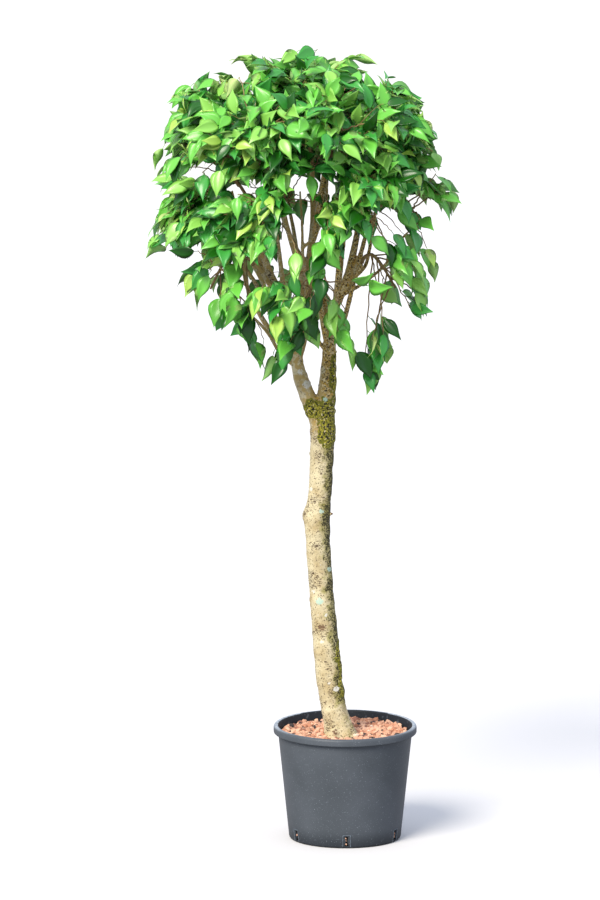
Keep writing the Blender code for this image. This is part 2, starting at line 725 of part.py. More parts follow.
def build_leaf(name, points, home):
    """A blade that is flat below, bent across its widest part, and rises to a midrib above."""
    mesh = bpy.data.meshes.new(name)
    mesh.from_pydata([tuple(p) for p in points], [], LEAF_FACES)
    shape = bmesh.new()
    shape.from_mesh(mesh)
    bmesh.ops.recalc_face_normals(shape, faces=shape.faces)
    shape.to_mesh(mesh)
    shape.free()
    return add_object(name, mesh, home)


def skin(obj):
    """The object's faces as a tree that tells whether another's cross them."""
    mesh = obj.data
    return BVHTree.FromPolygons([v.co for v in mesh.vertices], [p.vertices for p in mesh.polygons])


def spots(points):
    """The leaf's corners with the middles of its edges and of its ridge, for testing what it comes near."""
    ends = ((0, 2), (0, 3), (1, 2), (1, 3), (0, 4), (1, 4))
    middles = [(points[a] + points[b]) / 2 for a, b in ends]
    return np.vstack((points, middles))


# ---------------------------------------------------------------- masses


def place_leaf(mass, masses, segments, rng, path, k, taken):
    """The corners of the twig's k-th leaf and its skin, or None where no try keeps to its space."""
    where = (LEAF_FROM + (LEAF_TO - LEAF_FROM) * k / (LEAVES_ON_SPRAY - 1)) * (SPRAY_POINTS - 1)
    i = min(int(where), SPRAY_POINTS - 2)
    place = path[i] + (path[i + 1] - path[i]) * (where - i)
    tangent = unit(path[i + 1] - path[i])
    for _ in range(LEAF_TRIES):
        axis, normal = leaf_frame(place, tangent, 1 if k % 2 else -1, rng)
        if k < LEAVES_ON_SPRAY - 1 and axis @ tangent > LEAF_ALONG:
            continue
        points = leaf_points(place - axis * LEAF_ROOT, axis, normal)
        tests = spots(points)
        if crown_share(points[1:2])[0] > LEAF_OUTSIDE or not mass.holds(tests, masses, MASS_CLEARANCE):
            continue
        if not clear_of_limbs(tests[1:], segments, LEAF_LIMB_CLEARANCE):
            continue
        tree = BVHTree.FromPolygons([Vector(p) for p in points], LEAF_FACES)
        if not any(tree.overlap(other) for other in taken):
            return points, tree
    return None


def grow_mass(mass, masses, segments, rng, home):
    """The mass's stem, with every twig and leaf that keeps to its space fused on."""
    pieces = collection(mass.name + "_pieces", helper=True)
    stem_radii = np.linspace(BOUGH_RADII[1], SPRAY_RADII[0], len(mass.stem))
    stem = tube(mass.name, mass.stem, stem_radii, STEM_SIDES, home, "foliage")
    radii = np.linspace(*SPRAY_RADII, SPRAY_POINTS)
    grown = []
    for path in mass.twigs():
        share = np.linspace(0, 1, TWIG_TESTS)[:, None]
        tests = np.vstack([a + (b - a) * share for a, b in zip(path, path[1:])])[TWIG_ROOT_TESTS:]
        if mass.holds(tests, masses, MASS_CLEARANCE + SPRAY_RADII[0]):
            if clear_of_limbs(tests, segments, SPRAY_RADII[0] + TWIG_LIMB_CLEARANCE):
                grown.append((path, tube(f"twig_{len(grown)}", path, radii, TWIG_SIDES, pieces)))
    leaves = []
    for path, twig in grown:
        taken = [skin(stem)] + [skin(other) for _, other in grown if other is not twig] + leaves
        for k in range(LEAVES_ON_SPRAY):
            found = place_leaf(mass, masses, segments, rng, path, k, taken)
            if found:
                build_leaf(f"leaf_{len(leaves)}", found[0], pieces)
                leaves.append(found[1])
                taken.append(found[1])
    boolean(stem, "UNION", group=pieces)
    keep_largest(stem.data)
    remove_objects(pieces.objects)
    bpy.data.collections.remove(pieces)
    print(f"{mass.name}: {len(grown)} of {len(mass.tips)} sprays, {len(leaves)} leaves")


def main():
    remove_objects(bpy.data.objects)
    plant = collection("weeping_fig")
    collection("sections", helper=True)
    build_pot(plant)
    build_filling(plant)
    build_trunk(plant)
    limbs = plan_limbs()
    masses = [
        Mass(name, round_, up, limbs[limb], height) for name, (round_, up, limb, height) in MASSES.items()
    ]
    rng = np.random.default_rng(CROWN_SEED)
    middles = np.array([mass.middle for mass in masses])
    for tip in spray_tips(rng):
        masses[int(np.argmin(np.linalg.norm(middles - tip, axis=1)))].tips.append(tip)
    wood = list(limbs.values()) + [mass.bough for mass in masses if mass.bough not in limbs.values()]
    for limb in wood:
        limb.build(plant)
    lines = [(limb.path, limb.radii) for limb in wood]
    lines.append((np.array(TRUNK_LINE), np.array(TRUNK_RADII)))
    lines.append((np.array(LEFT_ARM_LINE), np.array(LEFT_ARM_RADII)))
    segments = limb_segments(lines)
    for mass in masses:
        grow_mass(mass, masses, segments, rng, plant)
    remove_objects(bpy.data.collections["sections"].objects)


main()
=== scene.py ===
"""A weeping fig grown as a small standard tree, in a nursery pot topped with clay granules."""

import math

import bmesh
import bpy
import numpy as np
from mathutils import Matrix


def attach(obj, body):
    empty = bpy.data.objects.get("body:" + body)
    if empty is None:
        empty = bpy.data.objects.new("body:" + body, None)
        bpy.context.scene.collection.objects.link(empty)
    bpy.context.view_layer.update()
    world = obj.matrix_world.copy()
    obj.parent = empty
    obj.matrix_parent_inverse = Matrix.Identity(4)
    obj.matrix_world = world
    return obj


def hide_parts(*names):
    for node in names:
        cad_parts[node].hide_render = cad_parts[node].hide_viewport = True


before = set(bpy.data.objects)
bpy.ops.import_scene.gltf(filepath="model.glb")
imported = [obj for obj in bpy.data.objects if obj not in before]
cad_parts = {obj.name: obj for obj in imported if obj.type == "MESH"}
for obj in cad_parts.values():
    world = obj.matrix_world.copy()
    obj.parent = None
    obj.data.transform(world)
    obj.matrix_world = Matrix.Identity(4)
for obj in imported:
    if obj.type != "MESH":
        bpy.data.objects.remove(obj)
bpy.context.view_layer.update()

# ---------------------------------------------------------------- studio
# A white floor that runs on past the view, soft light from a pale sky, and one broad warm lamp high on the
# left in front. The camera stands ten metres away with a long lens, a little above the top of the crown.

FLOOR_COLOUR = "D6D6D6"
FLOOR_BOUNCE = "969696"  # what it throws back at the plant
FLOOR_HALF = 40.0
BACKDROP = ("FFFFFF", 1.1)  # colour and strength of what the camera sees
SKY = ("E6EDFF", 1.08)  # and of what lights the plant
SUN_COLOUR = "FFF6E8"
SUN_STRENGTH = 4.35
SUN_ANGLE = math.radians(28)
SUN_FROM = (-0.54, -0.86, 0.82)
CAMERA_PLACE = (-0.126, -10.0, 2.2)
CAMERA_PITCH = math.radians(6.33)
LENS_MM = 145.2


def linear(colour):
    """An sRGB hex colour as linear red, green, blue and full opacity."""
    channels = [int(colour[i:i + 2], 16) / 255 for i in (0, 2, 4)]
    return (*[c / 12.92 if c <= 0.04045 else ((c + 0.055) / 1.055) ** 2.4 for c in channels], 1.0)


def new_material(name):
    """An empty node material and its Principled BSDF, already joined to the output."""
    made = bpy.data.materials.new(name)
    made.use_nodes = True
    return made, made.node_tree.nodes["Principled BSDF"]


def add_node(tree, kind, values=(), **settings):
    """Adds a node. values pairs a socket's name or number with a number, a colour or the socket that feeds
    it."""
    node = tree.nodes.new(kind)
    for key, value in settings.items():
        setattr(node, key, value)
    for socket, value in values:
        if isinstance(value, bpy.types.NodeSocket):
            tree.links.new(value, node.inputs[socket])
        else:
            node.inputs[socket].default_value = value
    return node


def set_shader(shader, colour, roughness, **others):
    """Sets the constant values of a Principled BSDF."""
    shader.inputs["Base Color"].default_value = linear(colour)
    shader.inputs["Roughness"].default_value = roughness
    for name, value in others.items():
        shader.inputs[name.replace("_", " ")].default_value = value


floor_mesh = bpy.data.meshes.new("floor")
floor_corners = [(x * FLOOR_HALF, y * FLOOR_HALF, 0) for x, y in ((-1, -1), (1, -1), (1, 1), (-1, 1))]
floor_mesh.from_pydata(floor_corners, [], [(0, 1, 2, 3)])
floor = bpy.data.objects.new("floor", floor_mesh)
bpy.context.scene.collection.objects.link(floor)
floor_paint, floor_shader = new_material("matt_white_floor")
set_shader(floor_shader, FLOOR_COLOUR, 0.9)
tree = floor_paint.node_tree
ray = add_node(tree, "ShaderNodeLightPath")
floor_colour = add_node(
    tree, "ShaderNodeMix",
    ((0, ray.outputs["Is Camera Ray"]), (6, linear(FLOOR_BOUNCE)), (7, linear(FLOOR_COLOUR))),
    data_type="RGBA")
tree.links.new(floor_colour.outputs[2], floor_shader.inputs["Base Color"])
floor_mesh.materials.append(floor_paint)

room = bpy.data.worlds.new("white_room")
room.use_nodes = True
tree = room.node_tree
sky_light = tree.nodes["Background"]
sky_light.inputs["Color"].default_value = linear(SKY[0])
sky_light.inputs["Strength"].default_value = SKY[1]
backdrop = add_node(tree, "ShaderNodeBackground", (("Color", linear(BACKDROP[0])), ("Strength", BACKDROP[1])))
ray = add_node(tree, "ShaderNodeLightPath")
shown = add_node(tree, "ShaderNodeMixShader", (
    (0, ray.outputs["Is Camera Ray"]), (1, sky_light.outputs[0]), (2, backdrop.outputs[0])))
tree.links.new(shown.outputs[0], tree.nodes["World Output"].inputs["Surface"])
bpy.context.scene.world = room
sun_light = bpy.data.lights.new("sun", "SUN")
sun_light.energy = SUN_STRENGTH
sun_light.angle = SUN_ANGLE
sun_light.color = linear(SUN_COLOUR)[:3]
sun = bpy.data.objects.new("sun", sun_light)
sun.rotation_euler = (
    math.atan2(math.hypot(SUN_FROM[0], SUN_FROM[1]), SUN_FROM[2]), 0,
    math.atan2(SUN_FROM[1], SUN_FROM[0]) + math.pi / 2)
bpy.context.scene.collection.objects.link(sun)

camera_lens = bpy.data.cameras.new("camera")
camera_lens.lens = LENS_MM
camera = bpy.data.objects.new("camera", camera_lens)
camera.location = CAMERA_PLACE
camera.rotation_euler = (math.pi / 2 - CAMERA_PITCH, 0, 0)
bpy.context.scene.collection.objects.link(camera)
bpy.context.scene.camera = camera
bpy.context.scene.view_settings.view_transform = "Standard"

# ---------------------------------------------------------------- pot
# A tapering tub of black-grey polypropylene, injection-moulded with a turned-down lip. Six slots round its
# foot let water out: each is an hourglass through a shallow pocket. It has stood outdoors, so dust has
# settled on it.

POT_HEIGHT = 0.3145
POT_FOOT_RADIUS = 0.156
POT_WALL_TOP_RADIUS = 0.1895
POT_LIP_RADIUS = 0.200
POT_LIP_DROP = 0.020
POT_WALL = 0.0025
POT_FLOOR = 0.003
POT_TURNS = 240  # facets round it
SLOTS = 6
SLOT_WIDTH = 0.011
SLOT_WAIST = 0.004
SLOT_HEIGHT = 0.027
SLOT_BOTTOM = 0.007
SLOT_TURN = math.radians(1.0)
POCKET_WIDTH = 0.019
POCKET_HEIGHT = 0.032
POCKET_DEPTH = 0.0014
FRAME_WIDTH = 0.0018  # of the raised edge round each pocket's top and sides
FRAME_PROUD = 0.0007
POT_COLOURS = ("474D53", "51575E")  # the plastic, and where dust dulls it
# pale dust, also painted along the top of the lip as a highlight
POT_DUST_AND_LIP_HIGHLIGHT = "A9B4BF"
POT_INSIDE_SHADE = "1C2229"  # near black: painted shade inside the pot's wall
# painted shade, darker towards the foot
POT_FOOT_SHADE = "23282E"
# rubbed by handling, and painted paler as a highlight
POT_RUBBED_AND_HIGHLIGHT = "6E7A86"
FOOT_SHADE_HEIGHT = 0.055
LIP_LIFT = (0.005, 0.007)  # how far the bent lip rises, and by how much more at the back
LIP_BEND_FROM = 0.15
LIP_THICKER = 0.002  # than the wall
FLOOR_CORNER, FLOOR_INSET = 0.006, 0.001  # where the inner wall rounds into the floor, and how far in
WALL_ROWS = (0.052, 0.040)  # heights of the points that keep the slots' cuts from the wall above
POT_ROUNDING = (0, FLOOR_CORNER, 0.0045, 0.0075, 0.0030, 0.0008, 0.001, 0.002, 0, 0, 0.0075, 0)
FRAME_SUNK = 0.001
CUT_INSIDE, CUT_OUTSIDE = 0.012, 0.020  # how far a slot's cutter reaches on either side of the wall's face
SHARP_EDGE = math.radians(35)
DUST_PATCHES, DUST_SPECKS, LIP_RUBS = 7, 380, 120  # to the metre: 143, 2.6 and 8.3 mm across
SCUFFS = (16, 16, 150)  # 62 mm long and 7 mm high
SILT, WORN_SPOTS = 90, 260  # 11 and 4 mm across


def wall_radius(height):
    """The outside of the pot's wall, which widens evenly from foot to lip."""
    return POT_FOOT_RADIUS + (POT_WALL_TOP_RADIUS - POT_FOOT_RADIUS) * height / POT_HEIGHT


def rounded(points, radii, steps=5):
    """An open outline with its inner corners rounded: each corner's arc is a quadratic curve whose ends are
    cut back from it by that corner's radius."""
    points = np.array(points, float)
    out = [points[:1]]
    for before, corner, after, radius in zip(points, points[1:], points[2:], radii[1:]):
        if radius == 0:
            out.append(corner[None])
            continue
        start = corner + (before - corner) * radius / np.linalg.norm(before - corner)
        end = corner + (after - corner) * radius / np.linalg.norm(after - corner)
        t = np.linspace(0, 1, steps)[:, None]
        out.append((1 - t)**2 * start + 2 * (1 - t) * t * corner + t**2 * end)
    out.append(points[-1:])
    return np.vstack(out)


def mesh_object(name, verts, faces, materials=(), kinds=None):
    """A mesh piece. A face whose last two corners are one is a triangle. kinds gives each face its
    material."""
    mesh = bpy.data.meshes.new(name)
    faces = [face[:3] if face[2] == face[3] else face for face in np.asarray(faces).tolist()]
    mesh.from_pydata(np.asarray(verts).tolist(), [], faces)
    for material in materials:
        mesh.materials.append(material)
    if kinds is not None:
        mesh.polygons.foreach_set("material_index", np.asarray(kinds, np.int32))
    mesh.polygons.foreach_set("use_smooth", np.ones(len(mesh.polygons), bool))
    mesh.update()
    made = bpy.data.objects.new(name, mesh)
    bpy.context.scene.collection.objects.link(made)
    return made


def ring_faces(rings, turns, flipped=False):
    """Faces of a closed shell of rings that follow one another: four-sided ones between each ring and the
    next, and at each end a fan to a pole. The two poles' points come after the rings'."""
    here = np.arange(turns)
    there = (here + 1) % turns
    rows = np.arange(rings - 1)[:, None] * turns
    last = (rings - 1) * turns
    pole = here * 0 + rings * turns
    walls = np.stack((rows + here, rows + there, rows + turns + there, rows + turns + here), -1)
    walls = walls.reshape(-1, 4)
    fans = np.vstack((np.stack((pole, there, here, here), 1),
                      np.stack((pole + 1, last + here, last + there, last + there), 1)))
    if flipped:
        walls, fans = walls[:, (0, 3, 2, 1)], fans[:, (0, 2, 1, 1)]
    return np.vstack((walls, fans))


def turned(profile, turns):
    """Points and faces of a closed turned shell: the profile's radius and height carried round +Z, with its
    two ends on the axis made one point each."""
    angle = np.arange(turns) * 2 * math.pi / turns
    rings = profile[1:-1]
    x = rings[:, None, 0] * np.cos(angle)
    y = rings[:, None, 0] * np.sin(angle)
    z = np.broadcast_to(rings[:, None, 1], x.shape)
    poles = [(0, 0, profile[0, 1]), (0, 0, profile[-1, 1])]
    verts = np.vstack((np.stack((x, y, z), -1).reshape(-1, 3), poles))
    return verts, ring_faces(len(rings), turns, flipped=True)


def read_rows(items, name):
    """One row of three numbers for each of a mesh's points or faces."""
    values = np.empty(len(items) * 3)
    items.foreach_get(name, values)
    return values.reshape(-1, 3)


def recalculated(mesh):
    """Turns every face of a closed mesh outwards."""
    shape = bmesh.new()
    shape.from_mesh(mesh)
    bmesh.ops.recalc_face_normals(shape, faces=shape.faces)
    shape.to_mesh(mesh)
    shape.free()


def applied(obj):
    """Applies the object's modifiers to its mesh."""
    bpy.context.view_layer.update()
    graph = bpy.context.evaluated_depsgraph_get()
    made = bpy.data.meshes.new_from_object(obj.evaluated_get(graph))
    obj.modifiers.clear()
    obj.data = made


def prism(outline, heading, inner, outer):
    """Points and faces of a prism that stands on a (width, height) outline: each point goes out along the
    heading from one distance outside the wall's slope to another."""
    out = np.array((math.cos(heading), math.sin(heading), 0.0))
    across = np.array((-out[1], out[0], 0.0))
    flat = across * outline[:, :1] + np.array((0, 0, 1.0)) * outline[:, 1:]
    slope = wall_radius(outline[:, 1:])
    count = len(outline)
    verts = np.vstack((flat + out * (slope + inner), flat + out * (slope + outer)))
    ring = np.arange(count)
    after = (ring + 1) % count
    faces = np.stack((ring, after, after + count, ring + count), 1).tolist()
    return verts, faces + [ring[::-1].tolist(), (ring + count).tolist()]


def slot_cutter(outline, heading, inner, outer):
    """A prism as an object that cuts the wall."""
    verts, faces = prism(outline, heading, inner, outer)
    mesh = bpy.data.meshes.new("cutter")
    mesh.from_pydata(verts.tolist(), [], faces)
    recalculated(mesh)
    made = bpy.data.objects.new("cutter", mesh)
    bpy.context.scene.collection.objects.link(made)
    return made


def joined(parts):
    """One list of points and one of faces from many."""
    start = np.cumsum([0] + [len(verts) for verts, _ in parts[:-1]])
    return np.vstack([v for v, _ in parts]), np.vstack([f + s for (_, f), s in zip(parts, start)])


def cut(obj, cutter):
    """Takes the cutter's shape out of the object, and deletes the cutter."""
    modifier = obj.modifiers.new("cut", "BOOLEAN")
    modifier.operation = "DIFFERENCE"
    modifier.solver = "EXACT"
    modifier.object = cutter
    applied(obj)
    bpy.data.objects.remove(cutter)


lip_bottom = POT_HEIGHT - POT_LIP_DROP
under_lip = POT_HEIGHT - POT_WALL - LIP_THICKER
inner_foot = wall_radius(POT_FLOOR + FLOOR_CORNER) - POT_WALL
wall_rows = [(wall_radius(z), z) for z in WALL_ROWS]
pot_profile = rounded(
    (
        (0, POT_FLOOR), (inner_foot - FLOOR_INSET, POT_FLOOR),
        (wall_radius(POT_HEIGHT) - POT_WALL, POT_HEIGHT), (POT_LIP_RADIUS, POT_HEIGHT),
        (POT_LIP_RADIUS, lip_bottom), (POT_LIP_RADIUS - POT_WALL, lip_bottom),
        (POT_LIP_RADIUS - POT_WALL, under_lip), (wall_radius(under_lip), under_lip), *wall_rows,
        (POT_FOOT_RADIUS, 0), (0, 0),
    ),
    POT_ROUNDING,
)
pot = mesh_object("nursery_pot", *turned(pot_profile, POT_TURNS))
recalculated(pot.data)
hourglass = np.array((
    (-SLOT_WIDTH / 2, 0), (SLOT_WIDTH / 2, 0), (SLOT_WAIST / 2, SLOT_HEIGHT / 2),
    (SLOT_WIDTH / 2, SLOT_HEIGHT), (-SLOT_WIDTH / 2, SLOT_HEIGHT), (-SLOT_WAIST / 2, SLOT_HEIGHT / 2),
)) + (0, SLOT_BOTTOM)
pocket_low = SLOT_BOTTOM - (POCKET_HEIGHT - SLOT_HEIGHT) / 2
half = POCKET_WIDTH / 2
pocket = np.array(((-half, 0), (half, 0), (half, POCKET_HEIGHT), (-half, POCKET_HEIGHT))) + (0, pocket_low)
edge = FRAME_WIDTH
frame_bars = [
    np.array(((x, z), (x + wide, z), (x + wide, z + tall), (x, z + tall))) + (0, pocket_low)
    for x, z, wide, tall in (
        (-half, POCKET_HEIGHT, 2 * half, edge), (-half - edge, 0, edge, POCKET_HEIGHT + edge),
        (half, 0, edge, POCKET_HEIGHT + edge))
]
frame_parts = []
for slot in range(SLOTS):
    slot_heading = -math.pi / 2 + SLOT_TURN + 2 * math.pi * slot / SLOTS
    for bar in frame_bars:
        verts, faces = prism(bar, slot_heading, -FRAME_SUNK, FRAME_PROUD)
        frame_parts.append((verts, np.array(faces)))
    cut(pot, slot_cutter(pocket, slot_heading, -POCKET_DEPTH, CUT_OUTSIDE))
    cut(pot, slot_cutter(hourglass, slot_heading, -CUT_INSIDE, CUT_OUTSIDE))
points = read_rows(pot.data.vertices, "co")
bend = np.clip((points[:, 2] - LIP_BEND_FROM) / (POT_HEIGHT - LIP_BEND_FROM), 0, 1)
points[:, 2] += bend * (LIP_LIFT[0] + LIP_LIFT[1] * points[:, 1] / POT_LIP_RADIUS)
pot.data.vertices.foreach_set("co", points.reshape(-1))
pot.data.set_sharp_from_angle(angle=SHARP_EDGE)
centres = read_rows(pot.data.polygons, "center")
wall_middle = wall_radius(centres[:, 2]) - POT_WALL * 0.7
inside = (np.hypot(centres[:, 0], centres[:, 1]) < wall_middle) & (centres[:, 2] > POT_FLOOR * 0.5)


def clouded(tree, where, surface, colour, scale, detail, limits, most=1.0, roughness=0.5, grows=None):
    """Lays a colour over a surface where a noise passes from one limit to the other, and gives the new
    surface and the noise. Half of what a growth falls short of full is taken off the noise, so its edge is
    ragged."""
    noise = add_node(tree, "ShaderNodeTexNoise", (
        (0, where), ("Scale", scale), ("Detail", detail), ("Roughness", roughness))).outputs[0]
    cloud = noise
    low, high = limits
    if grows is not None:
        cloud = add_node(
            tree, "ShaderNodeMath", ((0, grows), (1, 0.5), (2, noise)), operation="MULTIPLY_ADD").outputs[0]
        low, high = low + 0.5, high + 0.5
    cover = add_node(tree, "ShaderNodeMapRange", ((0, cloud), (1, low), (2, high), (4, most))).outputs[0]
    covered = add_node(
        tree, "ShaderNodeMix", ((0, cover), (6, surface), (7, linear(colour))), data_type="RGBA")
    return covered.outputs[2], noise


# Moulded polypropylene: an even slate grey with a satin skin. Dust lies in soft patches, and there are pale
# splashes and fine scuffs round the body. The lip's top is painted pale as a highlight, broken by rubs, and the
# body is painted darker towards the foot as shade.
plastic, plastic_shader = new_material("moulded_polypropylene")
set_shader(plastic_shader, POT_COLOURS[0], 0.46, Specular_IOR_Level=0.22)
tree = plastic.node_tree
place = add_node(tree, "ShaderNodeTexCoord").outputs["Object"]
body_colour, _ = clouded(
    tree, place, linear(POT_COLOURS[0]), POT_COLOURS[1], DUST_PATCHES, 3, (0.38, 0.68))
specks = add_node(
    tree, "ShaderNodeTexNoise", ((0, place), ("Scale", DUST_SPECKS), ("Detail", 2))).outputs[0]
speck_mask = add_node(tree, "ShaderNodeMapRange", ((0, specks), (1, 0.66), (2, 0.76), (4, 0.55)))
stretch = add_node(tree, "ShaderNodeMapping", (("Vector", place), ("Scale", SCUFFS)), vector_type="POINT")
scuffs = add_node(tree, "ShaderNodeTexNoise", ((0, stretch.outputs[0]), ("Scale", 1), ("Detail", 3)))
scuff_mask = add_node(tree, "ShaderNodeMapRange", ((0, scuffs.outputs[0]), (1, 0.72), (2, 0.82), (4, 0.25)))
marks = add_node(
    tree, "ShaderNodeMath", ((0, speck_mask.outputs[0]), (1, scuff_mask.outputs[0])), operation="MAXIMUM")
height = add_node(tree, "ShaderNodeSeparateXYZ", ((0, place),)).outputs["Z"]
rubbed = add_node(tree, "ShaderNodeTexNoise", ((0, place), ("Scale", LIP_RUBS), ("Detail", 4)))
rub_range = add_node(
    tree, "ShaderNodeMapRange", ((0, rubbed.outputs[0]), (1, 0.30), (2, 0.62), (3, 0.35), (4, 0.95)))
# Painted highlight: the top of the lip is painted pale, broken by rubs.
lip_top_highlight = add_node(
    tree, "ShaderNodeMapRange", ((0, height), (1, POT_HEIGHT - 0.001), (2, POT_HEIGHT + 0.004)))
lip_highlight_and_rubs = add_node(
    tree, "ShaderNodeMath", ((0, rub_range.outputs[0]), (1, lip_top_highlight.outputs[0])), operation="MULTIPLY")
dust_and_lip_highlight = add_node(tree, "ShaderNodeMath", ((0, marks.outputs[0]), (1, lip_highlight_and_rubs.outputs[0])), operation="ADD")
dust_and_lip_highlight.use_clamp = True
# Painted shade: the body is painted darker towards the foot.
foot_shade = add_node(
    tree, "ShaderNodeMapRange", ((0, height), (1, 0.0), (2, FOOT_SHADE_HEIGHT), (3, 0.75), (4, 0.0)),
    interpolation_type="SMOOTHSTEP")
pot_colour = body_colour
for cover, colour in ((foot_shade, POT_FOOT_SHADE), (dust_and_lip_highlight, POT_DUST_AND_LIP_HIGHLIGHT)):
    pot_colour = add_node(
        tree, "ShaderNodeMix", ((0, cover.outputs[0]), (6, pot_colour), (7, linear(colour))),
        data_type="RGBA").outputs[2]
tree.links.new(pot_colour, plastic_shader.inputs["Base Color"])
sheen_range = add_node(tree, "ShaderNodeMapRange", ((0, dust_and_lip_highlight.outputs[0]), (3, 0.42), (4, 0.75)))
tree.links.new(sheen_range.outputs[0], plastic_shader.inputs["Roughness"])
grain_bump = add_node(
    tree, "ShaderNodeBump", (("Height", specks), ("Strength", 0.12), ("Distance", 0.0006)))
tree.links.new(grain_bump.outputs[0], plastic_shader.inputs["Normal"])

# The same plastic inside, painted near black as the shade within the pot's wall, and smeared with dry silt above
# the filling.
shaded, shaded_shader = new_material("moulded_polypropylene_inside_shade")
set_shader(shaded_shader, POT_INSIDE_SHADE, 0.55, Specular_IOR_Level=0.3)
tree = shaded.node_tree
place = add_node(tree, "ShaderNodeTexCoord").outputs["Object"]
silted, _ = clouded(tree, place, linear(POT_INSIDE_SHADE), POT_DUST_AND_LIP_HIGHLIGHT, SILT, 5, (0.58, 0.78), 0.22)
tree.links.new(silted, shaded_shader.inputs["Base Color"])
pot.data.materials.clear()
pot.data.materials.append(plastic)
pot.data.materials.append(shaded)
pot.data.polygons.foreach_set("material_index", inside.astype(np.int32))
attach(pot, "root")
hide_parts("pot")

# The raised edges round the slots' pockets are part of the same moulding, painted paler: partly rubbed by
# handling, partly as a highlight where the light catches them.
frames = mesh_object("slot_edges", *joined(frame_parts))
recalculated(frames.data)
frames.data.polygons.foreach_set("use_smooth", np.zeros(len(frames.data.polygons), bool))
pale_edges, pale_edge_shader = new_material("moulded_polypropylene_rubbed_and_highlit")
set_shader(pale_edge_shader, POT_RUBBED_AND_HIGHLIGHT, 0.6, Specular_IOR_Level=0.3)
tree = pale_edges.node_tree
place = add_node(tree, "ShaderNodeTexCoord").outputs["Object"]
pale_edge_colour, _ = clouded(tree, place, linear(POT_COLOURS[1]), POT_RUBBED_AND_HIGHLIGHT, WORN_SPOTS, 3, (0.35, 0.65))
tree.links.new(pale_edge_colour, pale_edge_shader.inputs["Base Color"])
frames.data.materials.append(pale_edges)
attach(frames, "root")

# ---------------------------------------------------------------- growing medium and clay granules
# Dark medium fills the pot to a finger's breadth below its lip. Broken fired-clay granules, mostly 10 to 22 mm
# long, are strewn over it, and a few small ones have washed down behind the slots.

FILL_LEVEL = 0.2855
FILL_BANK = 0.006  # how much higher it lies at the wall's sides, and half of that at its back
FILL_RINGS, FILL_TURNS = 40, 120
MEDIUM_COLOURS = ("1E120D", "5A3526", "080605")  # dark and light crumbs, and the wet peat under them, near black also as painted shade
GRANULES = 1350
GRANULE_SIZE = (0.0100, 0.0185)  # before each is made ragged, which lengthens it
SLOT_GRANULES = 3  # washed down behind each of the pot's slots,
SLOT_GRANULE_SIZE = 0.0052
SLOT_GRANULE_DEPTH = 0.0042  # and how far behind the wall's face
GRANULE_SEED = 5
GOLDEN_ANGLE = math.pi * (3 - math.sqrt(5))
GRANULE_COLOURS = (  # fired clay from pale to burnt, a little lava and chalk, and their shares
    ("C4977C", 0.35), ("D8AC90", 0.26), ("B68064", 0.19), ("8E6150", 0.10), ("3E3735", 0.08),
    ("DCC8B2", 0.02))
FILL_GAP = 0.0006  # between the medium and the plastic
FILL_FOOT, FILL_FOOT_TAPER = 0.012, 0.96  # height where it rounds in to the pot's floor, and by how much
FILL_LUMPS = ((0.0035, 0.045, 21), (0.0014, 0.016, 22))  # rise, width and seed
GRANULE_RAGGED = (0.18, 0.11)  # how unlike its sides are, and its corners
GRANULE_STANDS = 0.28  # how far its middle is over the medium, as a share of its size
GRANULE_LIFT = (-0.001, 0.0045)
CRUMBS, CLAY_PORES = 300, 700  # to the metre: 3.3 and 1.4 mm across


def relief(points, size, seed):
    """Smooth random relief from -1 to 1. A lattice of random numbers with one cell of the given size is read
    at each point, and its eight corners are blended by the cubic step 3t^2 - 2t^3."""
    table = np.random.default_rng(seed).uniform(-1, 1, 4096)
    cells = np.asarray(points) / size
    base = np.floor(cells).astype(np.int64)
    step = cells - base
    step = step * step * (3 - 2 * step)
    total = np.zeros(len(cells))
    for corner in range(8):
        offset = np.array([(corner >> axis) & 1 for axis in range(3)])
        where = base + offset
        mixed = where[:, 0] * 73856093 ^ where[:, 1] * 19349663 ^ where[:, 2] * 83492791
        weight = np.prod(np.where(offset, step, 1 - step), axis=1)
        total += table[mixed & 4095] * weight
    return total


def fill_height(x, y):
    """The top of the medium: level round the stem, banked up as the square of the distance out and more
    towards the back, with lumps 45 and 16 mm across."""
    flat = np.stack((x, y, np.zeros_like(x)), -1).reshape(-1, 3)
    lumps = sum(rise * relief(flat, width, seed) for rise, width, seed in FILL_LUMPS)
    bank = (x * x + y * y) / POT_WALL_TOP_RADIUS**2 * (1 + y / POT_WALL_TOP_RADIUS)
    return FILL_LEVEL + FILL_BANK * bank + lumps.reshape(x.shape)


fill_radius = wall_radius(FILL_LEVEL) - POT_WALL - FILL_GAP
radius = fill_radius * np.linspace(0, 1, FILL_RINGS + 1)[1:, None]
angle = np.arange(FILL_TURNS) * 2 * math.pi / FILL_TURNS
fill_x, fill_y = radius * np.cos(angle), radius * np.sin(angle)
top = np.stack((fill_x, fill_y, fill_height(fill_x, fill_y)), -1).reshape(-1, 3)
foot_radius = wall_radius(FILL_FOOT) - POT_WALL - FILL_GAP
foot = np.stack(
    (foot_radius * np.cos(angle), foot_radius * np.sin(angle), np.full(FILL_TURNS, FILL_FOOT)), -1)
base = np.stack((foot[:, 0] * FILL_FOOT_TAPER, foot[:, 1] * FILL_FOOT_TAPER,
                 np.full(FILL_TURNS, POT_FLOOR + FILL_GAP)), -1)
middle_top = (0, 0, float(fill_height(np.zeros(1), np.zeros(1))[0]))
fill_verts = np.vstack((top, foot, base, [middle_top, (0, 0, POT_FLOOR + FILL_GAP)]))
fill_faces = ring_faces(FILL_RINGS + 2, FILL_TURNS, flipped=True)
medium = mesh_object("growing_medium", fill_verts, fill_faces)
recalculated(medium.data)
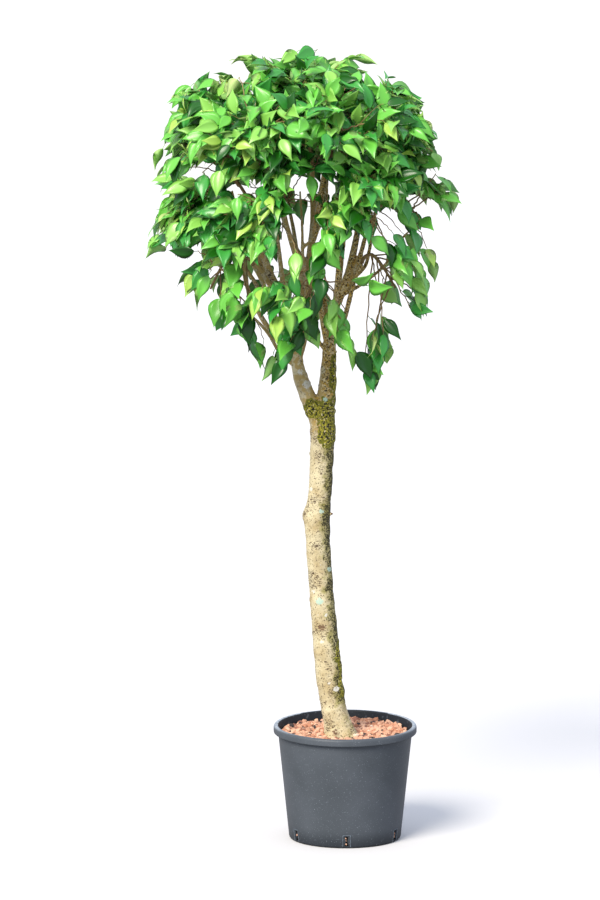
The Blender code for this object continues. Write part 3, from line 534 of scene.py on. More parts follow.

# Moist peat and crushed clay: dark, matt and crumbly. Under the top it is near black: wet peat, and painted
# shade where it shows through the slots.
soil, soil_shader = new_material("peat_and_clay_dust")
set_shader(soil_shader, MEDIUM_COLOURS[0], 0.95)
tree = soil.node_tree
place = add_node(tree, "ShaderNodeTexCoord").outputs["Object"]
soil_colour, crumbs = clouded(
    tree, place, linear(MEDIUM_COLOURS[0]), MEDIUM_COLOURS[1], CRUMBS, 5, (0.4, 0.65))
height = add_node(tree, "ShaderNodeSeparateXYZ", ((0, place),)).outputs["Z"]
# Painted shade: under the top the medium is near black, as seen through the slots.
top_of_fill = add_node(tree, "ShaderNodeMapRange", ((0, height), (1, FILL_LEVEL - 0.04), (2, FILL_LEVEL - 0.01)))
moist_and_shaded = add_node(
    tree, "ShaderNodeMix", ((0, top_of_fill.outputs[0]), (6, linear(MEDIUM_COLOURS[2])), (7, soil_colour)),
    data_type="RGBA")
tree.links.new(moist_and_shaded.outputs[2], soil_shader.inputs["Base Color"])
crumb_bump = add_node(
    tree, "ShaderNodeBump", (("Height", crumbs), ("Strength", 0.8), ("Distance", 0.002)))
tree.links.new(crumb_bump.outputs[0], soil_shader.inputs["Normal"])
medium.data.materials.append(soil)
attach(medium, "root")
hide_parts("clay_granules")


def broken_stone():
    """Points and faces of a stone with 26 corners: a cube, each face cut in four, drawn in towards a ball."""
    shape = bmesh.new()
    bmesh.ops.create_cube(shape, size=1.0)
    bmesh.ops.subdivide_edges(shape, edges=shape.edges, cuts=1, use_grid_fill=True)
    shape.verts.index_update()
    points = np.array([v.co for v in shape.verts])
    faces = np.array([[v.index for v in f.verts] for f in shape.faces])
    shape.free()
    return points / np.linalg.norm(points, axis=1, keepdims=True) ** 0.7 * 0.62, faces


def random_turns(count, rng):
    """Rotation matrices spread evenly over all turns, from unit quaternions."""
    q = rng.normal(size=(count, 4))
    w, x, y, z = (q / np.linalg.norm(q, axis=1, keepdims=True)).T
    rows = (1 - 2 * (y * y + z * z), 2 * (x * y - w * z), 2 * (x * z + w * y),
            2 * (x * y + w * z), 1 - 2 * (x * x + z * z), 2 * (y * z - w * x),
            2 * (x * z - w * y), 2 * (y * z + w * x), 1 - 2 * (x * x + y * y))
    return np.stack(rows, 1).reshape(-1, 3, 3)


rng = np.random.default_rng(GRANULE_SEED)
stone, stone_faces = broken_stone()
order = np.arange(GRANULES)
size = rng.uniform(*GRANULE_SIZE, GRANULES) * rng.uniform(0.8, 1.0, GRANULES)
out = np.sqrt((order + 0.5) / GRANULES) * (fill_radius - 0.0065)
around = order * GOLDEN_ANGLE + rng.normal(0, 0.05, GRANULES)
grain_x = out * np.cos(around) + rng.normal(0, 0.0015, GRANULES)
grain_y = out * np.sin(around) + rng.normal(0, 0.0015, GRANULES)
grain_z = fill_height(grain_x, grain_y) + size * GRANULE_STANDS + rng.uniform(*GRANULE_LIFT, GRANULES)
heading = -math.pi / 2 + SLOT_TURN + 2 * math.pi * np.repeat(np.arange(SLOTS), SLOT_GRANULES) / SLOTS
low = SLOT_BOTTOM + SLOT_HEIGHT * rng.uniform(0.1, 0.9, SLOTS * SLOT_GRANULES)
heading += rng.uniform(-0.3, 0.3, len(low)) * SLOT_WIDTH / wall_radius(low)
out = wall_radius(low) - SLOT_GRANULE_DEPTH
grain_x = np.append(grain_x, out * np.cos(heading))
grain_y = np.append(grain_y, out * np.sin(heading))
grain_z = np.append(grain_z, low)
size = np.append(size, np.full(len(low), SLOT_GRANULE_SIZE))
count = len(size)
lumpy = stone * (1 + GRANULE_RAGGED[0] * rng.normal(size=(count, 1, 3)))
lumpy = lumpy * (1 + GRANULE_RAGGED[1] * rng.normal(size=(count, len(stone), 1)))
turns = random_turns(count, rng)
grains = np.einsum("nij,nkj->nki", turns, lumpy) * size[:, None, None]
grains += np.stack((grain_x, grain_y, grain_z), -1)[:, None]
within = np.hypot(grains[..., 0], grains[..., 1]).max(axis=1) < wall_radius(FILL_LEVEL) - POT_WALL - 0.0005
grains = grains[within]
grain_faces = stone_faces[None] + np.arange(len(grains))[:, None, None] * len(stone)
shares = np.array([share for _, share in GRANULE_COLOURS])
kinds = rng.choice(len(shares), len(grains), p=shares / shares.sum())

# Fired clay: porous, chalk-matt, with a tone of its own on each granule.
clays = []
for number, (colour, _) in enumerate(GRANULE_COLOURS):
    clay, clay_shader = new_material(f"fired_clay_{number}")
    set_shader(clay_shader, colour, 0.95)
    tree = clay.node_tree
    place = add_node(tree, "ShaderNodeTexCoord").outputs["Object"]
    pores = add_node(tree, "ShaderNodeTexNoise", ((0, place), ("Scale", CLAY_PORES), ("Detail", 3)))
    pore_bump = add_node(
        tree, "ShaderNodeBump", (("Height", pores.outputs[0]), ("Strength", 0.5), ("Distance", 0.0008)))
    tree.links.new(pore_bump.outputs[0], clay_shader.inputs["Normal"])
    clays.append(clay)
granules = mesh_object("clay_granules_loose", grains.reshape(-1, 3), grain_faces.reshape(-1, 4), clays,
                       np.repeat(kinds, len(stone_faces)))
granules.data.polygons.foreach_set("use_smooth", np.zeros(len(granules.data.polygons), bool))
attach(granules, "root")

# ---------------------------------------------------------------- how the tree branches
# A leaning stem forks into two limbs, and a third leaves the left one. Boughs leave the limbs, each to carry
# one mass of foliage. The plant's places are those of its solids, worked out again from the same sizes.

UP = np.array((0.0, 0.0, 1.0))
STEM_FOOT = 0.2883
TRUNK_LINE = (
    (-0.012, -0.035, STEM_FOOT),
    (-0.021, -0.034, 0.325),
    (-0.034, -0.031, 0.380),
    (-0.048, -0.027, 0.480),
    (-0.059, -0.022, 0.614),
    (-0.070, -0.018, 0.741),
    (-0.076, -0.015, 0.839),
    (-0.078, -0.013, 0.905),
    (-0.070, -0.010, 0.979),
    (-0.066, -0.007, 1.077),
    (-0.063, -0.004, 1.150),
    (-0.056, -0.002, 1.220),
    (-0.049, 0.000, 1.290),
)
TRUNK_RADII = (
    0.041, 0.0365, 0.0355, 0.0365, 0.0345, 0.0335, 0.0340, 0.0350, 0.0325, 0.0330, 0.0340, 0.0265, 0.0225)
FLARE_ROOTS = ((-2.30, 0.010), (-0.35, 0.020), (1.60, 0.009))  # heading in radians, and how far it stands out
FLARE_HEIGHT = 0.034
FLARE_SHARPNESS = 2.6
KNUCKLE_HEIGHT = 0.912
KNUCKLE_SIZE = 0.007
KNUCKLE_SPREAD = 0.020
LEFT_ARM_LINE = (
    (-0.062, -0.004, 1.130), (-0.079, -0.003, 1.185), (-0.100, -0.001, 1.230), (-0.119, 0.000, 1.275))
LEFT_ARM_RADII = (0.024, 0.026, 0.0235, 0.0205)
LIMBS = {
    "limb_left": (
        ((-0.119, 0.000, 1.275), (-0.134, 0.001, 1.330), (-0.142, 0.003, 1.383), (-0.152, 0.006, 1.438),
         (-0.172, 0.010, 1.507), (-0.204, 0.014, 1.568), (-0.232, 0.018, 1.645), (-0.262, 0.018, 1.760)),
        (0.0205, 0.0070),
    ),
    "limb_right": (
        ((-0.049, 0.000, 1.290), (-0.045, 0.004, 1.369), (-0.036, 0.012, 1.466), (-0.016, 0.018, 1.518),
         (0.003, 0.022, 1.560), (0.018, 0.020, 1.623), (0.033, 0.015, 1.700), (0.036, 0.010, 1.780)),
        (0.0225, 0.0065),
    ),
    "limb_centre": (
        ((-0.133, 0.001, 1.345), (-0.112, 0.026, 1.420), (-0.104, 0.038, 1.507), (-0.100, 0.040, 1.623),
         (-0.090, 0.034, 1.720), (-0.094, 0.024, 1.880)),
        (0.0130, 0.0075),
    ),
}
CROWN_CENTRE = np.array((-0.126, 0.000, 1.735))
CROWN_RADIUS = 0.430
CROWN_UP = 0.458
CROWN_DOWN = 0.470
SQUARENESS_UP = 2.7
SQUARENESS_DOWN = 2.0
MASSES = {  # degrees round and up, its limb, and the height where its bough leaves that (none: it ends the limb)
    "foliage_top": (120, 84, "limb_centre", None),
    "foliage_high_right": (350, 40, "limb_right", None),
    "foliage_high_back_right": (62, 40, "limb_centre", 1.655),
    "foliage_high_back_left": (128, 38, "limb_centre", 1.600),
    "foliage_high_left": (184, 36, "limb_left", None),
    "foliage_high_front_left": (238, 42, "limb_centre", 1.560),
    "foliage_high_front_right": (296, 44, "limb_centre", 1.690),
    "foliage_right": (2, 2, "limb_right", 1.515),
    "foliage_back_right": (50, 0, "limb_right", 1.470),
    "foliage_back": (98, 2, "limb_centre", 1.480),
    "foliage_back_left": (146, 0, "limb_left", 1.480),
    "foliage_left": (196, 2, "limb_left", 1.520),
    "foliage_front_left": (250, 0, "limb_left", 1.440),
    "foliage_front_right": (305, 2, "limb_right", 1.450),
    "foliage_low_right": (352, -36, "limb_right", 1.395),
    "foliage_low_back": (74, -36, "limb_right", 1.420),
    "foliage_low_back_left": (164, -38, "limb_left", 1.385),
    "foliage_low_left": (222, -36, "limb_left", 1.360),
    "foliage_low_front": (282, -38, "limb_right", 1.370),
}
MASS_MIDDLE, MASS_HUB, STEM_END = 0.70, 0.48, 0.74  # shares of the crown's reach
LIMB_STEPS = 13
BOUGH_OUT, BOUGH_RISE, BOUGH_HANDLE = 0.75, 0.45, 0.33  # how it sets out, and its handles' length
STEM_STRAIGHT = 0.02  # before it turns
BOUGH_RADII = (0.0085, 0.0055)
BOUGH_POINTS = 6
STEM_POINTS = 4
CROWN_SEED = 11
SPRAYS = 118
SPRAY_LOWEST = -0.84
SPRAY_REACH = (0.74, 0.90)
SPRAY_REACH_UP = 0.11
SPRAY_ARCH, SPRAY_HANDLES = 0.16, (0.40, 0.18)
SPRAY_ROOTS = (0.22, 0.74)  # share of its stem where the first spray leaves, and what the others spread over
STEM_STEPS = 40
SPRAY_POINTS = 4
LONG_SPRAYS = (
    (-0.530, -0.020, 1.720), (0.268, -0.020, 1.816), (0.225, -0.060, 1.642), (-0.495, 0.010, 1.935),
    (0.071, -0.100, 1.405), (0.018, -0.130, 1.385), (-0.225, -0.080, 1.405), (-0.170, -0.120, 1.400),
    (-0.126, -0.020, 2.172), (-0.010, 0.020, 2.165), (-0.270, 0.010, 2.140), (0.100, 0.000, 2.110),
)


def unit(vector):
    """The vector, or each row of an array, at length 1."""
    return vector / np.linalg.norm(vector, axis=-1, keepdims=True)


def spline(points, count):
    """count points, evenly spaced along a Catmull-Rom curve through the given ones."""
    p = np.array(points, float)
    p = np.vstack((2 * p[0] - p[1], p, 2 * p[-1] - p[-2]))
    t = np.linspace(0, 1, 24, endpoint=False)[:, None]
    fine = [0.5 * (2 * b + (c - a) * t + (2 * a - 5 * b + 4 * c - d) * t**2 + (3 * b - a - 3 * c + d) * t**3)
            for a, b, c, d in zip(p, p[1:], p[2:], p[3:])]
    fine = np.vstack((*fine, p[-2:-1]))
    along = np.concatenate(([0], np.cumsum(np.linalg.norm(np.diff(fine, axis=0), axis=1))))
    wanted = np.linspace(0, along[-1], count)
    return np.stack([np.interp(wanted, along, fine[:, i]) for i in range(3)], axis=1)


def bezier(a, b, c, d, count):
    """count points along a cubic curve with ends a and d and handles b and c."""
    t = np.linspace(0, 1, count)[:, None]
    return (1 - t)**3 * a + 3 * (1 - t)**2 * t * b + 3 * (1 - t) * t**2 * c + t**3 * d


def crown_reach(direction):
    """How far the crown's surface is from its middle along a unit direction: a squared ellipse in section."""
    above = direction[..., 2] > 0
    level = np.hypot(direction[..., 0], direction[..., 1]) / CROWN_RADIUS
    rise = np.abs(direction[..., 2]) / np.where(above, CROWN_UP, CROWN_DOWN)
    power = np.where(above, SQUARENESS_UP, SQUARENESS_DOWN)
    return (level**power + rise**power) ** (-1 / power)


def crown_share(points):
    """How far out each point lies: 0 at the crown's middle, 1 on its surface."""
    offset = points - CROWN_CENTRE
    far = np.linalg.norm(offset, axis=-1)
    return far / crown_reach(offset / np.maximum(far, 1e-9)[..., None])


def plan_bough(hub, limb, height):
    """A bough that leaves the limb outwards, turns up and points at the hub."""
    foot = np.array([np.interp(height, limb[:, 2], limb[:, i]) for i in range(3)])
    across = hub - foot
    length = np.linalg.norm(across)
    level = unit(across * (1, 1, 0))
    arrive = unit(across * (1, 1, 0.5) + UP * 0.15 * length)
    leave = foot + (level * BOUGH_OUT + UP * BOUGH_RISE) * length * BOUGH_HANDLE
    return bezier(foot, leave, hub - arrive * length * BOUGH_HANDLE, hub, BOUGH_POINTS)


def spray_path(root, tip):
    """A twig that leaves its stem, arches over and hangs to its tip."""
    across = tip - root
    lift = UP * SPRAY_ARCH * np.linalg.norm(across)
    leave, arrive = SPRAY_HANDLES
    return bezier(root, root + across * leave + lift, tip - across * arrive + lift, tip, SPRAY_POINTS)


def lattice(count, lowest, start):
    """Unit directions spread evenly from straight up to the lowest rise: the rise falls in equal steps, and
    each is turned on by the golden angle. Also gives the rises."""
    steps = np.arange(count) + 0.5
    rise = 1 - steps / count * (1 - lowest)
    turn = steps * GOLDEN_ANGLE + start
    level = np.sqrt(1 - rise**2)
    return np.stack((np.cos(turn) * level, np.sin(turn) * level, rise), axis=1), rise


def nearest_mass(tips):
    """The number of the mass of foliage nearest each tip."""
    return np.argmin(np.linalg.norm(middles[None] - tips[:, None], axis=2), axis=1)


limb_lines = {}
for name, (points, (thick, thin)) in LIMBS.items():
    line = spline(points, LIMB_STEPS)
    limb_lines[name] = (line, thick + (thin - thick) * np.linspace(0, 1, LIMB_STEPS)**0.75)
middles, stems, boughs = [], [], []
for round_, up, limb, height in MASSES.values():
    turn, lift = math.radians(round_), math.radians(up)
    direction = np.array((math.cos(turn) * math.cos(lift), math.sin(turn) * math.cos(lift), math.sin(lift)))
    reach = crown_reach(direction)
    middles.append(CROWN_CENTRE + direction * reach * MASS_MIDDLE)
    hub = CROWN_CENTRE + direction * reach * MASS_HUB
    end = CROWN_CENTRE + direction * reach * STEM_END
    if height is None:
        carrier = limb_lines[limb][0]
    else:
        carrier = plan_bough(hub, limb_lines[limb][0], height)
        boughs.append(carrier)
    forward = unit(carrier[-1] - carrier[-2])
    straight = carrier[-1] + forward * STEM_STRAIGHT
    handle = end - (end - straight) * 0.3 + UP * 0.02
    curve = bezier(straight, straight + forward * 0.04, handle, end, STEM_POINTS)
    stems.append(np.vstack((carrier[-1], curve)))
middles = np.array(middles)

# A golden-angle lattice over the crown gives each spray its tip. A tip belongs to the nearest mass's stem.
rng = np.random.default_rng(CROWN_SEED)
direction, rise = lattice(SPRAYS, SPRAY_LOWEST, 0)
share = rng.uniform(*SPRAY_REACH, SPRAYS) + SPRAY_REACH_UP * np.maximum(rise, 0)
tips = np.vstack((CROWN_CENTRE + direction * (crown_reach(direction) * share)[:, None], LONG_SPRAYS))
owner = nearest_mass(tips)
sprays = []
for number, stem in enumerate(stems):
    own = sorted(tips[owner == number], key=lambda tip: np.linalg.norm(tip - stem[0]))
    fine_stem = spline(stem, STEM_STEPS)
    for i, tip in enumerate(own):
        along = SPRAY_ROOTS[0] + SPRAY_ROOTS[1] * (i + 0.5) / len(own)
        sprays.append(spray_path(fine_stem[int((STEM_STEPS - 1) * along)], tip))

# ---------------------------------------------------------------- trunk, limbs and boughs
# Smooth pale bark with level rows of raised pores, browner and rougher above the fork. The foot spreads in
# three lobes, and a pruned branch has healed over in a knuckle halfway up. One skin runs over every joint.

WOOD_VOXEL = 0.0031
WOOD_SMOOTHING = 3
TUBE_SIDES = 28
TRUNK_SIDES = 64
ARM_STEPS, LONG_STEPS, THIN_STEPS, BOUGH_STEPS, STUB_STEPS, KNOB_STEPS = 30, 90, 60, 40, 12, 9
THIN_LIMBS = (  # limbs too thin for the solids: their lines, and the half-thickness of foot and tip
    (((-0.150, -0.004, 1.355), (-0.198, -0.020, 1.410), (-0.242, -0.035, 1.480), (-0.275, -0.045, 1.562),
      (-0.291, -0.050, 1.714), (-0.313, -0.045, 1.810)), (0.0085, 0.0040)),
    (((-0.126, -0.004, 1.374), (-0.101, -0.020, 1.430), (-0.104, -0.035, 1.507), (-0.118, -0.045, 1.623),
      (-0.120, -0.050, 1.709), (-0.126, -0.050, 1.810)), (0.0070, 0.0035)),
    (((-0.118, -0.045, 1.653), (-0.096, -0.050, 1.675), (-0.071, -0.055, 1.714), (-0.054, -0.060, 1.783),
      (-0.049, -0.060, 2.002)), (0.0045, 0.0040)),
    (((0.001, 0.020, 1.551), (0.050, 0.000, 1.596), (0.064, -0.015, 1.642), (0.072, -0.020, 1.700),
      (0.089, -0.020, 1.783)), (0.0065, 0.0040)),
    (((-0.016, 0.015, 1.515), (0.040, -0.010, 1.549), (0.100, -0.030, 1.598), (0.133, -0.040, 1.645),
      (0.158, -0.045, 1.684), (0.204, -0.050, 1.728)), (0.0055, 0.0030)),
    (((-0.135, 0.000, 1.320), (-0.180, -0.030, 1.362), (-0.215, -0.050, 1.420), (-0.262, -0.060, 1.470),
      (-0.330, -0.070, 1.520)), (0.0065, 0.0030)),
    (((-0.040, -0.005, 1.350), (-0.075, -0.040, 1.400), (-0.085, -0.060, 1.470), (-0.070, -0.075, 1.540),
      (-0.060, -0.080, 1.640)), (0.0060, 0.0030)),
)
STUBS = (  # pruned twigs: foot, direction, length and half-thickness
    ((-0.160, -0.010, 1.385), (-0.8, -0.5, 0.5), 0.030, 0.0070),
    ((-0.043, -0.018, 1.360), (0.7, -0.8, 0.3), 0.026, 0.0050),
    ((-0.048, -0.020, 0.914), (1.0, -0.3, 0.1), 0.014, 0.0040),
    ((-0.150, -0.012, 1.455), (-0.4, -0.9, 0.4), 0.024, 0.0045),
)
FOOT_CLEFT = (-1.52, 0.010, 26.0)  # groove between the lobes: heading, depth and sharpness
FOOT_KNOB = ((-0.029, -0.068, 0.309), 0.012)
BARK_PALE, BARK_TAN, BARK_FLECK = "CBC09C", "AE9C72", "361F06"
# Algae and painted shade on the side away from the lamp, and their paler bloom.
ALGAE_AND_SHADE, ALGAE_AND_SHADE_BLOOM = "252102", "8C8642"
AGED_PALE, AGED_GOLD, AGED_DARK, AGED_CREAM = "B0985F", "B8943C", "261A07", "DACB9E"
MOSS_PALE, MOSS_GOLD, MOSS_DARK = "6A6A12", "A89E30", "191602"
LICHEN_WHITE, LICHEN_AQUA = "D6D5CB", "A9C8B4"
SCAR_BROWN = "644530"
ALGAE_AND_SHADE_SIDE = (0.93, -0.32, 0.10)  # the side away from the lamp, dark with algae and painted shade
FOOT_CLEAN = (0.33, 0.42)  # heights between which the foot's clean bark gives way to algae and painted shade
FORK_AGED_FROM, FORK_AGED_BY = 1.100, 1.145
FORK_AGED_SLOPE = 0.70  # how much lower the old bark starts on the right
ARM_PALER, ARM_FROM, ARM_BY = 0.40, 0.075, 0.110  # how much less of it the left arm bears, painted paler as the lit side, and how far out
MOSS_PATCHES = (  # middle and half-size
    ((-0.012, -0.030, 0.520), (0.022, 0.050, 0.045)),
    ((-0.008, -0.030, 0.450), (0.014, 0.040, 0.050)),
    ((-0.046, -0.030, 1.142), (0.034, 0.060, 0.042)),
    ((-0.050, -0.030, 1.190), (0.034, 0.060, 0.045)),
    ((-0.085, -0.030, 1.205), (0.034, 0.060, 0.028)),
    ((-0.030, -0.010, 1.290), (0.016, 0.040, 0.070)),
    ((-0.070, 0.030, 1.120), (0.045, 0.030, 0.090)),
    ((-0.040, 0.040, 0.480), (0.035, 0.025, 0.060)),
)
LICHENS = (  # middle, radius, and 1 where it is aqua
    ((-0.1086, 1.2755), 0.0125, 0), ((-0.1260, 1.3100), 0.0105, 0), ((-0.0556, 1.2342), 0.0065, 1),
    ((-0.0706, 0.6760), 0.0120, 1), ((-0.0539, 0.6367), 0.0060, 0), ((-0.0650, 0.5615), 0.0060, 0),
    ((-0.0261, 0.4298), 0.0085, 0), ((-0.0455, 0.4466), 0.0060, 0), ((-0.0900, 0.7004), 0.0060, 0),
    ((-0.0457, 0.7620), 0.0095, 1), ((-0.0960, 0.9850), 0.0060, 0), ((-0.0660, 0.9250), 0.0070, 1),
)
SCARS = (  # dark healed places, and their radius
    ((-0.112, -0.010, 0.900), 0.007), ((-0.112, -0.012, 0.917), 0.004), ((-0.036, -0.025, 0.914), 0.007),
    ((-0.028, -0.076, 0.312), 0.010), ((-0.066, -0.055, 0.602), 0.016),
)
RAGGED_SIZES = ((0.030, 41, 0.5), (0.012, 42, 0.35), (0.006, 43, 0.3))  # size, seed, share of an edge
SWELLS = (0.0016, (0.045, 0.045, 0.028))  # how far each part of the relief stands out, and its size
WRINKLES = (0.0008, (0.016, 0.016, 0.006))
PORES = (0.0007, (0.009, 0.009, 0.0035))
CRACKS = (0.0026, 0.010)  # of old bark and moss
MOSS_PILE = 0.0014
FULL_RELIEF = 0.030  # half-thickness of the wood that bears it in full


def tube(line, radii, sides):
    """Points and faces of a closed tube: a ring of the given radius round each point of the line, square to
    it. The rings' axes are carried along the line without twisting, and each end is closed by a fan."""
    line = np.asarray(line, float)
    tangent = unit(np.gradient(line, axis=0))
    side = unit(np.cross(tangent[0], (0.31, 0.95, 0.05)))
    sides_along = []
    for direction in tangent:
        side = unit(side - direction * (side @ direction))
        sides_along.append(side)
    first = np.array(sides_along)
    second = np.cross(tangent, first)
    angle = np.arange(sides) * 2 * math.pi / sides
    ring = first[:, None] * np.cos(angle)[:, None] + second[:, None] * np.sin(angle)[:, None]
    verts = (line[:, None] + ring * np.asarray(radii)[:, None, None]).reshape(-1, 3)
    verts = np.vstack((verts, line[0], line[-1]))
    return verts, ring_faces(len(line), sides)


def trunk_skin():
    """The trunk: level rings round its centreline. Each stands out by its root lobes, which fade upwards by a
    third every flare height, and by the knuckle, a bump that falls off as a Gaussian of height."""
    z = np.concatenate((np.linspace(STEM_FOOT - 0.012, 0.42, 60), np.linspace(0.425, 1.29, 150)))
    line = spline(TRUNK_LINE, 200)
    heights = [p[2] for p in TRUNK_LINE]
    centre = np.stack([np.interp(z, line[:, 2], line[:, i]) for i in (0, 1)] + [z], axis=1)
    angle = np.arange(TRUNK_SIDES) * 2 * math.pi / TRUNK_SIDES
    above = np.maximum(z - STEM_FOOT, 0)[:, None]
    out = np.interp(z, heights, TRUNK_RADII)[:, None] + np.zeros(TRUNK_SIDES)
    for root, size in FLARE_ROOTS:
        out = out + size * np.exp(FLARE_SHARPNESS * (np.cos(angle - root) - 1)) * 3 ** (-above / FLARE_HEIGHT)
    bump = np.exp(-((z - KNUCKLE_HEIGHT) / KNUCKLE_SPREAD) ** 2)[:, None]
    out = out + KNUCKLE_SIZE * np.exp(3 * (np.cos(angle - math.pi) - 1)) * bump
    heading, depth, sharpness = FOOT_CLEFT
    out = out - depth * np.exp(sharpness * (np.cos(angle - heading) - 1)) * 3 ** (-above / FLARE_HEIGHT)
    ring = np.stack((np.cos(angle), np.sin(angle), np.zeros(TRUNK_SIDES)), -1)
    verts = (centre[:, None] + ring * out[..., None]).reshape(-1, 3)
    verts = np.vstack((verts, centre[0], centre[-1]))
    return verts, ring_faces(len(z), TRUNK_SIDES)


def spread(values, count):
    """count values, read off evenly along the given ones."""
    return np.interp(np.linspace(0, 1, count), np.linspace(0, 1, len(values)), values)


wood_lines = [(spline(LEFT_ARM_LINE, ARM_STEPS), spread(LEFT_ARM_RADII, ARM_STEPS))]
for line, radii in limb_lines.values():
    wood_lines.append((spline(line, LONG_STEPS), spread(radii, LONG_STEPS)))
for line, ends in THIN_LIMBS:
    wood_lines.append((spline(line, THIN_STEPS), np.linspace(*ends, THIN_STEPS)))
for line in boughs:
    wood_lines.append((spline(line, BOUGH_STEPS), np.linspace(*BOUGH_RADII, BOUGH_STEPS)))
for foot, towards, length, thick in STUBS:
    reach = unit(np.array(towards)) * length
    stub = np.array(foot) + reach * np.linspace(-0.3, 1, STUB_STEPS)[:, None]
    wood_lines.append((stub, np.full(STUB_STEPS, thick)))
knob_middle, knob_size = FOOT_KNOB
knob = np.array(knob_middle) + np.linspace(-0.9, 0.9, KNOB_STEPS)[:, None] * (0.2, 0.1, 1.0) * knob_size
knob_radii = knob_size * np.sqrt(1 - np.linspace(-0.98, 0.98, KNOB_STEPS) ** 2)
parts = [trunk_skin(), tube(knob, knob_radii, TUBE_SIDES)]
parts += [tube(line, radii, TUBE_SIDES) for line, radii in wood_lines]
wood_verts, wood_faces = joined(parts)
wood = mesh_object("wood", wood_verts, wood_faces)
skin = wood.modifiers.new("skin", "REMESH")
skin.mode = "VOXEL"
skin.voxel_size = WOOD_VOXEL
skin.use_smooth_shade = True
blend = wood.modifiers.new("blend", "SMOOTH")
blend.factor = 0.5
blend.iterations = WOOD_SMOOTHING
applied(wood)


def nearest_radius(points, lines):
    """The half-thickness of the limb nearest each point, from the limbs' own points."""
    centres = np.vstack([line[::3] for line, _ in lines])
    radii = np.concatenate([r[::3] for _, r in lines])
    nearest = np.empty(len(points))
    for start in range(0, len(points), 4000):
        block = points[start:start + 4000]
        distance = np.linalg.norm(block[:, None] - centres[None], axis=2) - radii
        nearest[start:start + 4000] = radii[np.argmin(distance, axis=1)]
    return nearest


def smooth_step(value, low, high):
    """0 up to low, 1 from high, and 3t^2 - 2t^3 of the way between."""
    t = np.clip((value - low) / (high - low), 0, 1)
    return t * t * (3 - 2 * t)


points = read_rows(wood.data.vertices, "co")
normals = read_rows(wood.data.vertex_normals, "vector")
count = len(points)
trunk_centre = (spline(TRUNK_LINE, 120), spread(TRUNK_RADII, 120))
thickness = nearest_radius(points, [trunk_centre] + wood_lines)

# How much of each growth every point of the bark carries, from 0 to 1.
ragged = sum(relief(points, size, seed) * share for size, seed, share in RAGGED_SIZES)
# The side away from the lamp carries algae and painted shade: less of it above the fork and on the clean foot.
shaded_side = normals @ unit(np.array(ALGAE_AND_SHADE_SIDE))
below_fork = 1 - smooth_step(points[:, 2], 1.10, 1.30)
algae_and_shade = smooth_step(shaded_side + 0.5 * ragged, -0.05, 1.0) * (0.35 + 0.65 * below_fork)
algae_and_shade *= 0.5 + 0.5 * smooth_step(points[:, 2], *FOOT_CLEAN)
border = points[:, 2] + FORK_AGED_SLOPE * (points[:, 0] + 0.065) + 0.035 * ragged
aged = smooth_step(border, FORK_AGED_FROM, FORK_AGED_BY)
# Painted light: the old bark thins on the lit side, away from the shade, and on the left arm, so these show
# paler.
aged *= 1 - 0.75 * smooth_step(ragged - shaded_side, 0.1, 0.9)
aged *= 1 - ARM_PALER * smooth_step(-points[:, 0], ARM_FROM, ARM_BY)
moss = np.zeros(count)
for middle, half in MOSS_PATCHES:
    away = np.linalg.norm((points - middle) / half, axis=1)
    moss = np.maximum(moss, smooth_step(1.25 - away + 0.55 * ragged, 0.0, 0.55))
lichen = np.zeros(count)
aqua = np.zeros(count)
for middle, radius, tint in LICHENS:
    away = np.hypot(points[:, 0] - middle[0], points[:, 2] - middle[1]) / radius
    spot = smooth_step(1.45 - away + 0.5 * ragged, 0.0, 0.9) * (normals[:, 1] < -0.2)
    lichen = np.maximum(lichen, spot)
    aqua = np.maximum(aqua, spot * tint)
scar = np.zeros(count)
for middle, radius in SCARS:
    away = np.linalg.norm(points - middle, axis=1) / radius
    scar = np.maximum(scar, smooth_step(1.35 - away + 0.4 * ragged, 0.0, 0.9))
rough = np.maximum(aged, moss)
bark = (SWELLS[0] * relief(points, SWELLS[1], 31) + WRINKLES[0] * relief(points, WRINKLES[1], 32)
        + PORES[0] * np.maximum(relief(points, PORES[1], 33), 0.1)
        + CRACKS[0] * rough * relief(points, CRACKS[1], 34) + MOSS_PILE * moss)
points = points + normals * (bark * np.clip(thickness / FULL_RELIEF, 0.2, 1.0))[:, None]
points[:, 2] = np.maximum(points[:, 2], STEM_FOOT - 0.012)
wood.data.vertices.foreach_set("co", points.reshape(-1))
wood.data.polygons.foreach_set("use_smooth", np.ones(len(wood.data.polygons), bool))
for name, channels in (("growth", (algae_and_shade, moss, aged)), ("spots", (lichen, aqua, scar))):
    layer = wood.data.color_attributes.new(name, "FLOAT_COLOR", "POINT")
    colours = np.stack((*channels, np.ones(count)), axis=1).astype(np.float32)
    layer.data.foreach_set("color", colours.reshape(-1))
wood.data.update()

# Fig bark: cream with a tan bloom, flecked by pores that stretch round the stem. The side away from the lamp is
# painted dark, as algae and as shade, the old bark over the fork is brown and cracked, and moss and round
# lichens sit on it.
bark_skin, bark_shader = new_material("fig_bark")
set_shader(bark_shader, BARK_PALE, 0.85)
tree = bark_skin.node_tree
where = add_node(tree, "ShaderNodeTexCoord").outputs["Object"]
growth = add_node(tree, "ShaderNodeAttribute", attribute_name="growth")
spots = add_node(tree, "ShaderNodeAttribute", attribute_name="spots")
growths = add_node(tree, "ShaderNodeSeparateColor", ((0, growth.outputs["Color"]),)).outputs
spot_kinds = add_node(tree, "ShaderNodeSeparateColor", ((0, spots.outputs["Color"]),)).outputs
level = add_node(tree, "ShaderNodeMapping", (("Vector", where), ("Scale", (130, 130, 420)))).outputs[0]
zone_noise = add_node(tree, "ShaderNodeTexNoise", ((0, where), ("Scale", 16), ("Detail", 3)))
zones = add_node(tree, "ShaderNodeMapRange", ((0, zone_noise.outputs[0]), (1, 0.36), (2, 0.58))).outputs[0]
COAT = (0.22, 0.32)  # limits that leave no gaps where a growth is full
RAGGED = (0.36, 0.46)  # and those that leave a few
